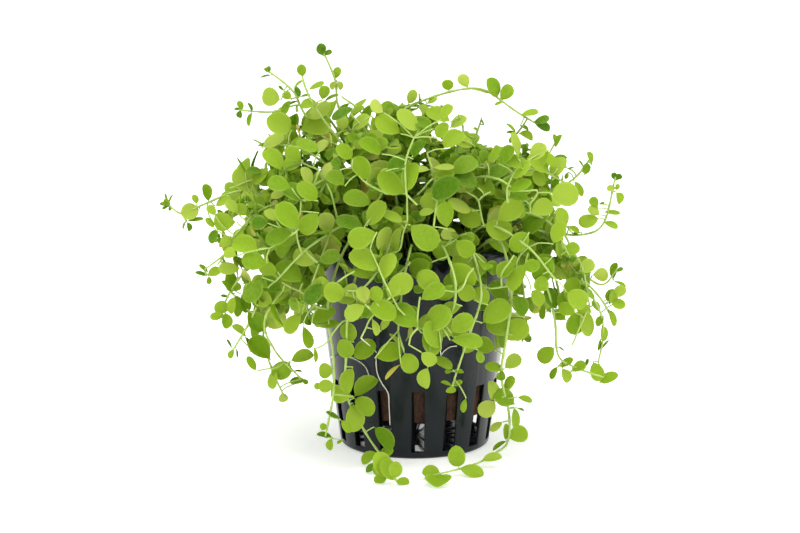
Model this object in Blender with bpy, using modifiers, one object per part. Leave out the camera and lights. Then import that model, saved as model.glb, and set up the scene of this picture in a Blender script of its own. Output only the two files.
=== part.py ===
"""Pearlweed in a net pot: leafy shoots that arch out of a slotted plastic pot on every side.

The pot stands on the origin, +Z is up and the side that faces the viewer is -Y. A shoot is one stem
with its leaves grown onto it. Everything is at real size, in metres.
"""

import math
import random

import bmesh
import bpy
from mathutils import Vector
from mathutils.bvhtree import BVHTree

MM = 0.001
WELD_DISTANCE = 0.01 * MM

# Net pot: a thin tapered cup with a lip, slots round its lower wall and wedge holes in its floor
POT_HEIGHT = 50 * MM
FOOT_RADIUS = 18 * MM
MOUTH_RADIUS = 24.8 * MM
WALL = 0.7 * MM
FOOT_BEVEL = 0.5 * MM
LIP_WIDTH = 1.4 * MM
LIP_DEPTH = 1.5 * MM
FLOOR_THICKNESS = 1.2 * MM
TURNED_STEPS = 30
SLOTS = 15
SLOT_WIDTH = 3.0 * MM
SLOT_BOTTOM = 1.7 * MM
SLOT_TOP = 16.8 * MM
SLOT_TURN = math.radians(-88)
SLOT_CUT = (15 * MM, 24 * MM)
HOLE_START = 5.6 * MM
HOLE_END = 15.0 * MM
HOLE_WIDTHS = (0.8 * MM, 3.4 * MM)

# Growing plug: the block of stone wool that fills the pot above the slots' lower ends
PLUG_BOTTOM = 9.0 * MM
PLUG_TOP = 46.0 * MM
PLUG_CROWN = 0.6 * MM
PLUG_SHOULDER = 2.0 * MM
PLUG_ROUNDING = (0.6, 0.7)
PLUG_GAP = 0.5 * MM
PLUG_STEPS = 15

# Shoots
ROOT_HEIGHT = PLUG_TOP + PLUG_CROWN + 0.6 * MM
STEM_RADIUS = 0.48 * MM
STEM_TAPER = 0.4
NODE_SPACING = 11.8 * MM
FEWEST_NODES = 3
CURVE_STEPS = 16
LEAF_LENGTH = 7 * MM
LEAF_WIDTH = 1.0
LEAF_VARIETY = (0.9, 1.08)
SMALLER_FROM = 0.55
SMALLER_BY = 0.45
LEAF_KEEL = 0.8 * MM
LEAF_SIDES = 5
PAIR_SHARE = 0.7
BARE_STEM = 13 * MM
LEAF_INSET = 0.12 * MM
TIP_INSET = 0.8 * MM
CLEARANCE = 0.25 * MM
FLOOR_CLEARANCE = 0.4 * MM
LEAF_TILT = 0.5
LEAF_LEAN = (0.2, 0.6)
LYING_HEIGHT = 4 * MM
CROWN_RADIUS = 42 * MM
SKY_LIFT = 0.35
PAIR_ROLL = 30
ROLL_TRIES = (0, 25, -25, 50, -50, 80, -80)

# Each route starts on the plug at (x, y) and goes on through (x, y, z), in millimetres
CROWN_ROUTES = {
    "shoot_crown_tall": [(-5, 2), (-11, 2, 66), (-18, 1, 81), (-19, 1, 88), (-22, 0, 95.5)],
    "shoot_crown_bud": [(-9, -1), (-16, -2, 66), (-26, -2, 80), (-29, -3, 86), (-35, -3, 91)],
    "shoot_crown_spray": [(-9, 5), (-15, 6, 68), (-22, 4, 80), (-28, 2, 82), (-34, 1, 80.5), (-42, 0, 81)],
    "shoot_crown_upright": [(-5, -5), (-12, -7, 66), (-22, -6, 80), (-25.5, -5, 86), (-27, -4, 91)],
    "shoot_crown_arch": [
        (-1, -2), (-6, -3, 66), (-8, -3, 76), (-3.5, -2.5, 81), (4, -2, 84.4), (12, -2, 86.4),
        (17, -2, 85.8), (24, -2, 81), (30.5, -2, 77),
    ],
    "shoot_crown_middle": [(2, 3), (3, 7, 68), (2, 9, 78), (1, 8, 84)],
    "shoot_crown_right": [(6, 2), (11, 3, 65), (14, 2, 73), (16, 2, 79)],
    "shoot_crown_outer": [(10, -1), (19, -1, 60), (29, -2, 67), (34, -2, 74.5)],
    "shoot_crown_left_front": [(-8, -5), (-16, -11, 64), (-25, -14, 73), (-33, -14, 75)],
    "shoot_crown_front_left": [(-2, -5), (-6, -10, 66), (-11, -14, 77), (-15, -15, 82)],
    "shoot_crown_front_right": [(3, -3), (7, -9, 66), (11, -13, 77), (10, -15, 82)],
    "shoot_crown_right_front": [(9, -5), (17, -11, 63), (27, -15, 69), (35, -15, 66)],
}
LEFT_ROUTES = {
    "shoot_left_upper": [(-12, 3), (-23, 7, 62), (-32, 8, 69), (-39, 7, 73)],
    "shoot_left_high": [(-13, -1), (-25, -3, 60), (-36, -4, 65), (-44, -5, 63)],
    "shoot_left_inner": [(-12, -4), (-24, -10, 59), (-35, -15, 60), (-43, -16, 53)],
    "shoot_left_far": [(-16, 2), (-28, 4, 57), (-41, 3, 61), (-51, 1, 58), (-56, 0, 56), (-60, 0, 59)],
    "shoot_left_middle": [(-16, -3), (-29, -7, 54), (-40, -9, 51), (-50, -8, 44)],
    "shoot_left_droop": [(-16, -7), (-28, -12, 54.5), (-38, -14, 47), (-44, -13, 39), (-46, -12, 33)],
    "shoot_left_hang": [(-13.5, -10.5), (-23, -18, 54), (-33, -19, 45), (-39, -17, 33), (-43, -15, 26)],
    "shoot_left_low": [
        (-11, -12.5), (-20, -20, 54), (-28, -23, 45), (-35, -22, 35), (-33, -20, 27), (-27, -19, 20),
    ],
    "shoot_left_tip": [
        (-15, -9), (-26, -15, 54), (-34, -15, 43), (-36, -13, 29), (-34, -14, 21), (-31, -14, 14),
    ],
    "shoot_left_back": [(-17, 7), (-28, 12, 56), (-41, 17, 50), (-49, 18, 40)],
}
RIGHT_ROUTES = {
    "shoot_right_high": [(12, 3), (22, 4, 58), (32, 3, 61), (38, 2, 64), (42, 2, 69)],
    "shoot_right_far": [(14, -1), (25, -1, 56), (34, 0, 51.5), (41, 0, 51), (45.5, 0, 54), (48, 0, 65)],
    "shoot_right_inner": [(12, -6), (22, -13, 58), (31, -17, 57), (36, -19.5, 49)],
    "shoot_right_side": [(17, 3), (28, 5, 54), (36.5, 4, 45), (42.5, 2, 39.5), (46, 1.5, 38.5), (49, 1, 42.5)],
    "shoot_right_tip": [(16, 0), (28, -3, 52), (38, -6, 43), (44, -6, 37), (47.5, -5, 31)],
    "shoot_right_hang": [(17, -4), (28, -8, 54), (37, -9, 45), (44, -8, 34), (45, -7, 27), (44, -7, 21)],
    "shoot_right_drop": [
        (13, -10), (23, -15, 52), (30, -15, 43), (33, -13, 33), (34, -12, 24), (38, -12, 21), (45, -12, 18.5),
    ],
    "shoot_right_bend": [(16, -7), (28, -12, 54), (38, -15, 48), (41, -16, 37)],
    "shoot_right_back": [(17, 7), (28, 12, 55), (37, 17, 48), (41, 19, 37)],
}
FRONT_ROUTES = {
    "shoot_front_upper_left": [(-8, -8), (-13, -15, 65), (-21, -24, 68), (-28, -29, 63)],
    "shoot_front_upper": [(-3, -8), (-5, -17, 65), (-7, -27, 67), (-10, -34, 61)],
    "shoot_front_upper_middle": [(2, -7), (4, -17, 65), (5, -27, 66), (4, -35, 59)],
    "shoot_front_upper_right": [(6, -6), (12, -14, 65), (19, -23, 68), (26, -28, 63)],
    "shoot_front_lower_left": [(-9, -11), (-15, -23, 57), (-24, -32, 54), (-32, -33, 46)],
    "shoot_front_lower_right": [(9, -9), (16, -22, 57), (25, -30, 54), (32, -31, 46)],
    "shoot_front_garland": [(-5, -12), (-5, -26, 56), (-8, -35, 50), (-13, -38, 45), (-20, -36, 46)],
    "shoot_front_middle": [(-1, -13), (-1, -26, 53), (-3, -33, 45), (-4, -35, 35)],
    "shoot_front_loop": [(3, -12), (5, -26, 55), (9, -35, 46), (7, -37, 37), (1, -37, 36), (-4, -39, 41)],
    "shoot_front_drop": [(7, -14), (12, -26, 53), (15, -31, 43), (12, -30, 32), (9, -28, 22)],
    "shoot_trailing_left": [
        (-6.5, -15), (-10, -27, 54), (-15, -31, 42), (-16, -29, 28), (-16, -27, 18),
        (-12, -25, 9), (-8, -26, 3), (-6.5, -32, 1.8), (-4.5, -41, 1.7),
    ],
    "shoot_trailing_short": [
        (-9, -14), (-15, -26, 54), (-20, -30, 41), (-19, -29, 28), (-19, -29, 19), (-21, -28, 8),
    ],
    "shoot_trailing_right": [
        (12, -12.5), (19, -23, 54), (22, -27, 43), (21, -26, 31), (20, -24, 22), (22, -21, 12),
        (22, -17, 4), (19, -19, 1.8), (13.5, -29, 1.7), (4, -38, 1.7),
    ],
}
BACK_ROUTES = {
    "shoot_back_crown_left": [(-4, 5), (-8, 12, 68), (-13, 17, 78), (-18, 19, 82)],
    "shoot_back_crown_right": [(6, 5), (11, 12, 63), (17, 17, 67), (24, 20, 65)],
    "shoot_back_upper_left": [(-6, 9), (-12, 18, 66), (-18, 28, 70), (-24, 35, 64)],
    "shoot_back_upper": [(0, 8), (1, 17, 67), (0, 28, 72), (-2, 37, 67)],
    "shoot_back_upper_right": [(6, 9), (12, 17, 66), (20, 26, 68), (27, 33, 62)],
    "shoot_back_left": [(-12, 9), (-21, 18, 58), (-31, 27, 55), (-39, 31, 46)],
    "shoot_back_left_hang": [(-10, 13), (-17, 24, 54), (-24, 33, 45), (-28, 37, 33), (-27, 37, 22)],
    "shoot_back_middle": [(1, 14), (2, 27, 55), (3, 37, 48), (5, 42, 37)],
    "shoot_back_long": [(-5, 15), (-7, 27, 53), (-10, 37, 43), (-12, 40, 29), (-12, 37, 15)],
    "shoot_back_right": [(12, 10), (21, 18, 58), (32, 26, 55), (40, 29, 46)],
    "shoot_back_right_hang": [(8, 14), (16, 24, 53), (24, 33, 44), (28, 36, 31), (28, 35, 18)],
}


def clear_scene():
    for thing in list(bpy.data.objects):
        bpy.data.objects.remove(thing)


def plain_finish(name, colour, roughness):
    material = bpy.data.materials.new(name)
    material.use_nodes = True
    shader = material.node_tree.nodes["Principled BSDF"]
    shader.inputs["Base Color"].default_value = (*colour, 1)
    shader.inputs["Roughness"].default_value = roughness
    return material


def black_plastic():
    """Injection moulded polypropylene, dyed black."""
    return plain_finish("moulded_black_plastic", (0.02, 0.025, 0.03), 0.35)


def stone_wool():
    """Damp brown mineral fibre."""
    return plain_finish("brown_stone_wool", (0.12, 0.05, 0.03), 0.95)


def living_green():
    """Fresh stems and leaves."""
    return plain_finish("living_green", (0.23, 0.45, 0.05), 0.45)


def add_object(name, mesh, collection, material=None):
    thing = bpy.data.objects.new(name, mesh)
    collection.objects.link(thing)
    if material:
        mesh.materials.append(material)
    return thing


def helper(name, mesh):
    """A cutter, or leaves still to be joined to a stem: kept out of the part."""
    thing = add_object(name, mesh, helpers)
    thing.hide_render = True
    thing.display_type = "WIRE"
    return thing


def join_or_cut(thing, other, operation):
    boolean = thing.modifiers.new(other.name, "BOOLEAN")
    boolean.operation = operation
    boolean.object = other


def turned(name, profile, steps, material):
    """A profile of (radius, height) points, from inside to outside, turned once round Z."""
    mesh = bpy.data.meshes.new(name)
    mesh.from_pydata([(r, 0, z) for r, z in profile], [(i, i + 1) for i in range(len(profile) - 1)], [])
    thing = add_object(name, mesh, plant, material)
    screw = thing.modifiers.new("turn", "SCREW")
    screw.steps = screw.render_steps = steps
    screw.use_merge_vertices = True
    screw.merge_threshold = WELD_DISTANCE
    return thing


def ring_of_blocks(name, corners, low, high):
    """One helper mesh of blocks round Z, each standing on the flat outline given by corners."""
    shape = bmesh.new()
    for k in range(SLOTS):
        turn = SLOT_TURN + 2 * math.pi * k / SLOTS
        ring = []
        for radius, side in corners:
            x = radius * math.cos(turn) - side * math.sin(turn)
            y = radius * math.sin(turn) + side * math.cos(turn)
            ring.append(shape.verts.new((x, y, low)))
        foot = shape.faces.new(ring)
        raised = bmesh.ops.extrude_face_region(shape, geom=[foot])["geom"]
        bmesh.ops.translate(shape, verts=[v for v in raised if isinstance(v, bmesh.types.BMVert)],
                            vec=(0, 0, high - low))
    bmesh.ops.recalc_face_normals(shape, faces=shape.faces)
    mesh = bpy.data.meshes.new(name)
    shape.to_mesh(mesh)
    shape.free()
    return helper(name, mesh)


def outer_radius(height):
    """The pot's outer radius at a height: its wall is a straight taper from foot to mouth."""
    return FOOT_RADIUS + (MOUTH_RADIUS - FOOT_RADIUS) * height / POT_HEIGHT


def net_pot():
    """The thin moulded pot, its lip turned out at the top, slotted low down and holed through its floor."""
    lip_underside = POT_HEIGHT - LIP_DEPTH
    pot = turned("net_pot", [
        (0, FLOOR_THICKNESS),
        (outer_radius(FLOOR_THICKNESS) - WALL, FLOOR_THICKNESS),
        (MOUTH_RADIUS - WALL, POT_HEIGHT),
        (MOUTH_RADIUS + LIP_WIDTH, POT_HEIGHT),
        (MOUTH_RADIUS + LIP_WIDTH, lip_underside),
        (outer_radius(lip_underside), lip_underside),
        (outer_radius(FOOT_BEVEL), FOOT_BEVEL),
        (FOOT_RADIUS - FOOT_BEVEL, 0),
        (0, 0),
    ], TURNED_STEPS, black_plastic())
    inner, outer = SLOT_CUT
    half = SLOT_WIDTH / 2
    slots = ring_of_blocks(
        "wall_slots", [(inner, -half), (outer, -half), (outer, half), (inner, half)], SLOT_BOTTOM, SLOT_TOP)
    narrow, wide = (width / 2 for width in HOLE_WIDTHS)
    holes = ring_of_blocks(
        "floor_holes", [(HOLE_START, -narrow), (HOLE_END, -wide), (HOLE_END, wide), (HOLE_START, narrow)],
        -FLOOR_THICKNESS, 2 * FLOOR_THICKNESS)
    join_or_cut(pot, slots, "DIFFERENCE")
    join_or_cut(pot, holes, "DIFFERENCE")
    return pot


def growing_plug():
    """The stone wool plug, wedged in the pot's taper, which the shoots root in."""
    def fits(height):
        return outer_radius(height) - WALL - PLUG_GAP
    inward, upward = PLUG_ROUNDING
    return turned("growing_plug", [
        (0, PLUG_TOP + PLUG_CROWN),
        (fits(PLUG_TOP) * inward, PLUG_TOP + PLUG_CROWN * upward),
        (fits(PLUG_TOP) - PLUG_SHOULDER, PLUG_TOP),
        (fits(PLUG_TOP), PLUG_TOP - PLUG_SHOULDER),
        (fits(PLUG_BOTTOM), PLUG_BOTTOM),
        (0, PLUG_BOTTOM),
    ], PLUG_STEPS, stone_wool())


def nodes_along(points):
    """The stem's evenly spaced nodes, on the smooth curve that passes through all the given points."""
    spots = [points[0] * 2 - points[1], *points, points[-1] * 2 - points[-2]]
    dense = []
    for a, b, c, d in zip(spots, spots[1:], spots[2:], spots[3:]):
        for t in (k / CURVE_STEPS for k in range(CURVE_STEPS)):
            dense.append(0.5 * (2 * b + (c - a) * t + (2 * a - 5 * b + 4 * c - d) * t * t
                                + (3 * b - a - 3 * c + d) * t ** 3))
    dense.append(points[-1])
    reached = [0.0]
    for a, b in zip(dense, dense[1:]):
        reached.append(reached[-1] + (b - a).length)
    count = max(FEWEST_NODES, round(reached[-1] / NODE_SPACING))
    even, k = [], 0
    for n in range(count + 1):
        goal = reached[-1] * n / count
        while k < len(dense) - 2 and reached[k + 1] < goal:
            k += 1
        even.append(dense[k].lerp(dense[k + 1], (goal - reached[k]) / (reached[k + 1] - reached[k])))
    return even


def path_of(route):
    """The nodes of a route, its points turned to metres and the first one set on top of the plug."""
    (x, y), *others = route
    return nodes_along([Vector((x * MM, y * MM, ROOT_HEIGHT)), *(Vector(p) * MM for p in others)])


def stem(name, path, material):
    """The bare stem, thinner towards its tip, as a closed tube."""
    line = bpy.data.curves.new(name, "CURVE")
    line.dimensions = "3D"
    line.bevel_depth = STEM_RADIUS
    line.bevel_resolution = 0
    line.use_fill_caps = True
    spline = line.splines.new("POLY")
    spline.points.add(len(path) - 1)
    for k, place in enumerate(path):
        spline.points[k].co = (*place, 1)
        spline.points[k].radius = 1 - STEM_TAPER * k / (len(path) - 1)
    tube = bpy.data.objects.new(name + "_line", line)
    plant.objects.link(tube)
    bpy.context.view_layer.update()
    mesh = bpy.data.meshes.new_from_object(tube.evaluated_get(bpy.context.evaluated_depsgraph_get()))
    bpy.data.objects.remove(tube)
    shape = bmesh.new()
    shape.from_mesh(mesh)
    bmesh.ops.remove_doubles(shape, verts=shape.verts, dist=WELD_DISTANCE)
    shape.to_mesh(mesh)
    shape.free()
    mesh.name = name
    return add_object(name, mesh, plant, material)


def add_leaf(shape, base, along, sky, length, margin=0.0):
    """Adds one round leaf that grows from base, its flat face to the sky and its keel below."""
    along = along.normalized()
    face = (sky - sky.project(along)).normalized()
    across = face.cross(along)
    rim = length / 2 + margin
    made = bmesh.ops.create_cone(shape, cap_ends=True, segments=LEAF_SIDES, radius1=1, radius2=0, depth=1)
    for vertex in made["verts"]:
        x, y, z = vertex.co
        sideways = -rim * LEAF_WIDTH * x
        forward = length / 2 - rim * y
        upward = margin - (LEAF_KEEL + 2 * margin) * (z + 0.5)
        vertex.co = base + across * sideways + along * forward + face * upward


def leaf_fits(base, along, sky, length, owner):
    """Whether a leaf there stays clear of the table and of every piece that is not its own stem."""
    shape = bmesh.new()
    add_leaf(shape, base, along, sky, length, CLEARANCE)
    lowest = min(vertex.co.z for vertex in shape.verts)
    centre = base + along.normalized() * length / 2
    tree = BVHTree.FromBMesh(shape)
    shape.free()
    if lowest < FLOOR_CLEARANCE:
        return False
    for name, other, middle, reach in obstacles:
        if name == owner or (middle - centre).length > reach + length:
            continue
        if tree.overlap(other):
            return False
    return True


def note_obstacle(name, mesh_or_shape):
    """Remembers a piece, so that later leaves keep clear of it."""
    shape = mesh_or_shape
    if isinstance(mesh_or_shape, bpy.types.Mesh):
        shape = bmesh.new()
        shape.from_mesh(mesh_or_shape)
    low = Vector(min(v.co[i] for v in shape.verts) for i in range(3))
    high = Vector(max(v.co[i] for v in shape.verts) for i in range(3))
    obstacles.append((name, BVHTree.FromBMesh(shape), (low + high) / 2, (high - low).length / 2))
    if shape is not mesh_or_shape:
        shape.free()


def sky_at(place):
    """Which way a leaf faces there: up on the crown and on the table, and outwards down the sides."""
    if place.z < LYING_HEIGHT:
        return Vector((0, 0, 1))
    outward = Vector((place.x, place.y, 0)) / CROWN_RADIUS
    return (outward + Vector((0, 0, SKY_LIFT + max(0.0, place.z - POT_HEIGHT) / CROWN_RADIUS))).normalized()


def leaf_pairs(name, path, chance):
    """The leaves of one shoot as a single helper mesh: opposite pairs that shrink towards the tip."""
    last = len(path) - 1
    leaves = bmesh.new()
    for k in range(1, last + 1):
        before, after = path[k - 1], path[k]
        heading = (after - before).normalized()
        here = before.lerp(after, PAIR_SHARE) if k < last else after - heading * TIP_INSET
        if (k - 1 + PAIR_SHARE) * NODE_SPACING < BARE_STEM:
            continue
        tip_share = max(0.0, (k / last - SMALLER_FROM) / (1 - SMALLER_FROM))
        size = LEAF_LENGTH * (1 - SMALLER_BY * tip_share) * chance.uniform(*LEAF_VARIETY)
        side = heading.cross(sky_at(here)).normalized()
        own_roll = chance.uniform(-PAIR_ROLL, PAIR_ROLL)
        for hand in (1, -1):
            sky = sky_at(here) + LEAF_TILT * Vector(chance.uniform(-1, 1) for _ in range(3))
            for roll in ROLL_TRIES:
                turn = math.radians(own_roll + hand * roll)
                out = (side * math.cos(turn) + heading.cross(side) * math.sin(turn)) * hand
                along = out + heading * chance.uniform(*LEAF_LEAN)
                base = here + along.normalized() * LEAF_INSET
                if leaf_fits(base, along, sky, size, name):
                    one = bmesh.new()
                    add_leaf(one, base, along, sky, size)
                    note_obstacle(name + "_leaf", one)
                    one.free()
                    add_leaf(leaves, base, along, sky, size)
                    break
    mesh = bpy.data.meshes.new(name + "_leaves")
    leaves.to_mesh(mesh)
    leaves.free()
    return mesh


clear_scene()
plant = bpy.data.collections.new("pearlweed")
helpers = bpy.data.collections.new("helpers")
for collection in (plant, helpers):
    bpy.context.scene.collection.children.link(collection)
obstacles = []

pot = net_pot()
plug = growing_plug()
bpy.context.view_layer.update()
for solid in (pot, plug):
    evaluated = solid.evaluated_get(bpy.context.evaluated_depsgraph_get())
    note_obstacle(solid.name, bpy.data.meshes.new_from_object(evaluated))

green = living_green()
stems = {}
for routes in (FRONT_ROUTES, CROWN_ROUTES, LEFT_ROUTES, RIGHT_ROUTES, BACK_ROUTES):
    for shoot_name, route in routes.items():
        path = path_of(route)
        stems[shoot_name] = (stem(shoot_name, path, green), path)
        note_obstacle(shoot_name, stems[shoot_name][0].data)

for number, (shoot_name, (bare_stem, path)) in enumerate(stems.items()):
    leaves_mesh = leaf_pairs(shoot_name, path, random.Random(number))
    join_or_cut(bare_stem, helper(shoot_name + "_leaves", leaves_mesh), "UNION")
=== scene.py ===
"""Pearlweed in a net pot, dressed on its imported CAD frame.

Everything is in metres, +Z is up and the viewer stands at -Y. The pot comes first, then the plug in it,
the shoots that root in the plug, their loose roots, and the studio round them.
"""

import math
import random

import bmesh
import bpy
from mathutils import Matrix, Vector, noise
from mathutils.bvhtree import BVHTree


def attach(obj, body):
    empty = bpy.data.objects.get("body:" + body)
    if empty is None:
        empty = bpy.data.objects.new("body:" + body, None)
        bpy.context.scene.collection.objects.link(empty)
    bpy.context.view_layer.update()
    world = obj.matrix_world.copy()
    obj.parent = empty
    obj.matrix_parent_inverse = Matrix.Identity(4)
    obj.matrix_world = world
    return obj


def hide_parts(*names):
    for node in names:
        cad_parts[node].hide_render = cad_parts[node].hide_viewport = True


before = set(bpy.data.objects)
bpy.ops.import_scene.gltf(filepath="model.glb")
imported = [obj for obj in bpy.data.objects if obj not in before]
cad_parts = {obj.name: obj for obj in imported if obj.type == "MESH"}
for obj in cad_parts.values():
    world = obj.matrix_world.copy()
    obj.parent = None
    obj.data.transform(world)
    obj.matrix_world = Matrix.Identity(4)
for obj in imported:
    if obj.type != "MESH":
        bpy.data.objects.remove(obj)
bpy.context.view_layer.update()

# Camera
# The photograph was taken through a long lens from a little above the pot's mouth, looking slightly down.
CAMERA_PLACE = (-0.0036, -0.5809, 0.1560)
CAMERA_PITCH = math.radians(11)
CAMERA_LENS = 110.43
FILM_WIDTH = 36
PICTURE_WIDTH, PICTURE_HEIGHT = 800, 533
FOCAL_PIXELS = PICTURE_WIDTH * CAMERA_LENS / FILM_WIDTH


def picture_place(place):
    """Where the camera sees a place: its column and row in the photograph."""
    off = place - Vector(CAMERA_PLACE)
    deep = off.y * math.cos(CAMERA_PITCH) - off.z * math.sin(CAMERA_PITCH)
    rise = off.y * math.sin(CAMERA_PITCH) + off.z * math.cos(CAMERA_PITCH)
    return Vector((PICTURE_WIDTH / 2 + FOCAL_PIXELS * off.x / deep, PICTURE_HEIGHT / 2 - FOCAL_PIXELS * rise / deep))


def sight_line(column, row):
    """The way from the camera through a spot of the photograph."""
    right, rise = (column - PICTURE_WIDTH / 2) / FOCAL_PIXELS, (PICTURE_HEIGHT / 2 - row) / FOCAL_PIXELS
    return Vector((right, math.cos(CAMERA_PITCH) + rise * math.sin(CAMERA_PITCH),
                   rise * math.cos(CAMERA_PITCH) - math.sin(CAMERA_PITCH)))


def seen_at(column, row, depth):
    """The place at that y which the camera sees at a spot of the photograph."""
    way = sight_line(column, row)
    return Vector(CAMERA_PLACE) + way * ((depth - CAMERA_PLACE[1]) / way.y)


def seen_on_table(column, row, height):
    """The place at that height which the camera sees at a spot of the photograph."""
    way = sight_line(column, row)
    return Vector(CAMERA_PLACE) + way * ((height - CAMERA_PLACE[2]) / way.z)


lens = bpy.data.cameras.new("camera")
lens.lens = CAMERA_LENS
lens.sensor_width = FILM_WIDTH
camera = bpy.data.objects.new("camera", lens)
camera.location = CAMERA_PLACE
camera.rotation_euler = (math.pi / 2 - CAMERA_PITCH, 0, 0)
bpy.context.scene.collection.objects.link(camera)
bpy.context.scene.camera = camera

# Net pot
# A thin aquarium net pot, injection moulded in black polypropylene: a tapered cup with a turned-out lip, a ring of
# tall slots low in its wall and wedge-shaped holes in its floor, all with slightly softened edges.
MM = 0.001
POT_HEIGHT = 50 * MM
FOOT_RADIUS = 18 * MM
MOUTH_RADIUS = 24.8 * MM
WALL = 0.7 * MM
FOOT_BEVEL = 0.5 * MM
LIP_WIDTH = 1.4 * MM
LIP_DEPTH = 1.5 * MM
FLOOR_THICKNESS = 1.2 * MM
TURNED_STEPS = 120
SLOTS = 15
SLOT_WIDTH = 3.0 * MM
SLOT_BOTTOM = 1.7 * MM
SLOT_TOP = 16.8 * MM
SLOT_TURN = math.radians(-88)
HOLE_START = 5.6 * MM
HOLE_END = 15.0 * MM
HOLE_WIDTHS = (0.8 * MM, 3.4 * MM)
EDGE_SOFTNESS = 0.14 * MM
SHARP_ANGLE = math.radians(32)


def outer_radius(height):
    """The pot's outer radius at a height: its wall is a straight taper from foot to mouth."""
    return FOOT_RADIUS + (MOUTH_RADIUS - FOOT_RADIUS) * height / POT_HEIGHT


def turned(name, profile, steps):
    """A profile of (radius, height) points, from inside to outside, turned once round Z."""
    mesh = bpy.data.meshes.new(name)
    mesh.from_pydata([(r, 0, z) for r, z in profile], [(i, i + 1) for i in range(len(profile) - 1)], [])
    thing = bpy.data.objects.new(name, mesh)
    bpy.context.scene.collection.objects.link(thing)
    screw = thing.modifiers.new("turn", "SCREW")
    screw.steps = screw.render_steps = steps
    screw.use_merge_vertices = True
    screw.merge_threshold = 0.01 * MM
    return thing


def ring_of_cutters(name, corners, low, high):
    """One mesh of blocks round Z, each standing on the flat outline given by (radius, side) corners."""
    shape = bmesh.new()
    for k in range(SLOTS):
        turn = SLOT_TURN + 2 * math.pi * k / SLOTS
        out = Vector((math.cos(turn), math.sin(turn), 0))
        side = Vector((-math.sin(turn), math.cos(turn), 0))
        foot = shape.faces.new([shape.verts.new(out * r + side * s + Vector((0, 0, low))) for r, s in corners])
        raised = bmesh.ops.extrude_face_region(shape, geom=[foot])["geom"]
        bmesh.ops.translate(shape, verts=[v for v in raised if isinstance(v, bmesh.types.BMVert)],
                            vec=(0, 0, high - low))
    bmesh.ops.recalc_face_normals(shape, faces=shape.faces)
    mesh = bpy.data.meshes.new(name)
    shape.to_mesh(mesh)
    shape.free()
    cutter = bpy.data.objects.new(name, mesh)
    bpy.context.scene.collection.objects.link(cutter)
    return cutter


def finished_mesh(thing):
    """The object's mesh with its modifiers applied, smooth but for its sharp edges."""
    bpy.context.view_layer.update()
    mesh = bpy.data.meshes.new_from_object(thing.evaluated_get(bpy.context.evaluated_depsgraph_get()))
    thing.modifiers.clear()
    thing.data = mesh
    mesh.shade_smooth()
    mesh.set_sharp_from_angle(angle=SHARP_ANGLE)


def linear(code):
    """An sRGB hex colour as the linear one that shaders take."""
    parts = [int(code[i:i + 2], 16) / 255 for i in (1, 3, 5)]
    return [*(c / 12.92 if c <= 0.04045 else ((c + 0.055) / 1.055) ** 2.4 for c in parts), 1]


def add_node(material, kind, inputs=None, **settings):
    """Adds a node with its settings. Each input is set to a value, or joined to the socket it is given."""
    made = material.node_tree.nodes.new(kind)
    for name, value in settings.items():
        setattr(made, name, value)
    for name, value in (inputs or {}).items():
        if isinstance(value, bpy.types.NodeSocket):
            material.node_tree.links.new(value, made.inputs[name])
        else:
            made.inputs[name].default_value = value
    return made


def new_material(name):
    """An empty material and the place in it where each pattern stands, in metres."""
    material = bpy.data.materials.new(name)
    material.use_nodes = True
    material.node_tree.nodes.clear()
    return material, add_node(material, "ShaderNodeTexCoord").outputs["Object"]


def moulded_polypropylene():
    """Black polypropylene straight from the mould: near black with a cool cast, and a soft gloss that stays dark face
    on and turns pale where the wall curves away. A faint grain and a haze of dried water break it up."""
    grain_size = 0.5 * MM
    haze_size = 9 * MM
    material, place = new_material("moulded_black_polypropylene")
    haze = add_node(material, "ShaderNodeTexNoise", {"Vector": place, "Scale": 1 / haze_size, "Detail": 4})
    colour = add_node(material, "ShaderNodeMix", {
        "Factor": haze.outputs["Fac"], "A": linear("#0b1114"), "B": linear("#131b1f")}, data_type="RGBA")
    gloss = add_node(material, "ShaderNodeMapRange", {
        "Value": haze.outputs["Fac"], "From Min": 0.3, "From Max": 0.7, "To Min": 0.16, "To Max": 0.28})
    grain = add_node(material, "ShaderNodeTexNoise", {"Vector": place, "Scale": 1 / grain_size, "Detail": 2})
    bump = add_node(material, "ShaderNodeBump", {
        "Height": grain.outputs["Fac"], "Strength": 0.06, "Distance": 0.05 * MM})
    shader = add_node(material, "ShaderNodeBsdfPrincipled", {
        "Base Color": colour.outputs[2], "Roughness": gloss.outputs[0], "Normal": bump.outputs[0], "IOR": 1.49,
        "Specular IOR Level": 0.24})
    add_node(material, "ShaderNodeOutputMaterial", {"Surface": shader.outputs[0]})
    return material


lip_underside = POT_HEIGHT - LIP_DEPTH
pot = turned("moulded_net_pot", [
    (0, FLOOR_THICKNESS),
    (outer_radius(FLOOR_THICKNESS) - WALL, FLOOR_THICKNESS),
    (MOUTH_RADIUS - WALL, POT_HEIGHT),
    (MOUTH_RADIUS + LIP_WIDTH, POT_HEIGHT),
    (MOUTH_RADIUS + LIP_WIDTH, lip_underside),
    (outer_radius(lip_underside), lip_underside),
    (outer_radius(FOOT_BEVEL), FOOT_BEVEL),
    (FOOT_RADIUS - FOOT_BEVEL, 0),
    (0, 0),
], TURNED_STEPS)
inner, outer, half = FOOT_RADIUS - 4 * WALL, FOOT_RADIUS + 8 * WALL, SLOT_WIDTH / 2
narrow, wide = (width / 2 for width in HOLE_WIDTHS)
cutters = [
    ring_of_cutters("wall_slots", [(inner, -half), (outer, -half), (outer, half), (inner, half)],
                    SLOT_BOTTOM, SLOT_TOP),
    ring_of_cutters("floor_holes", [(HOLE_START, -narrow), (HOLE_END, -wide), (HOLE_END, wide), (HOLE_START, narrow)],
                    -FLOOR_THICKNESS, 2 * FLOOR_THICKNESS),
]
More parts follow.
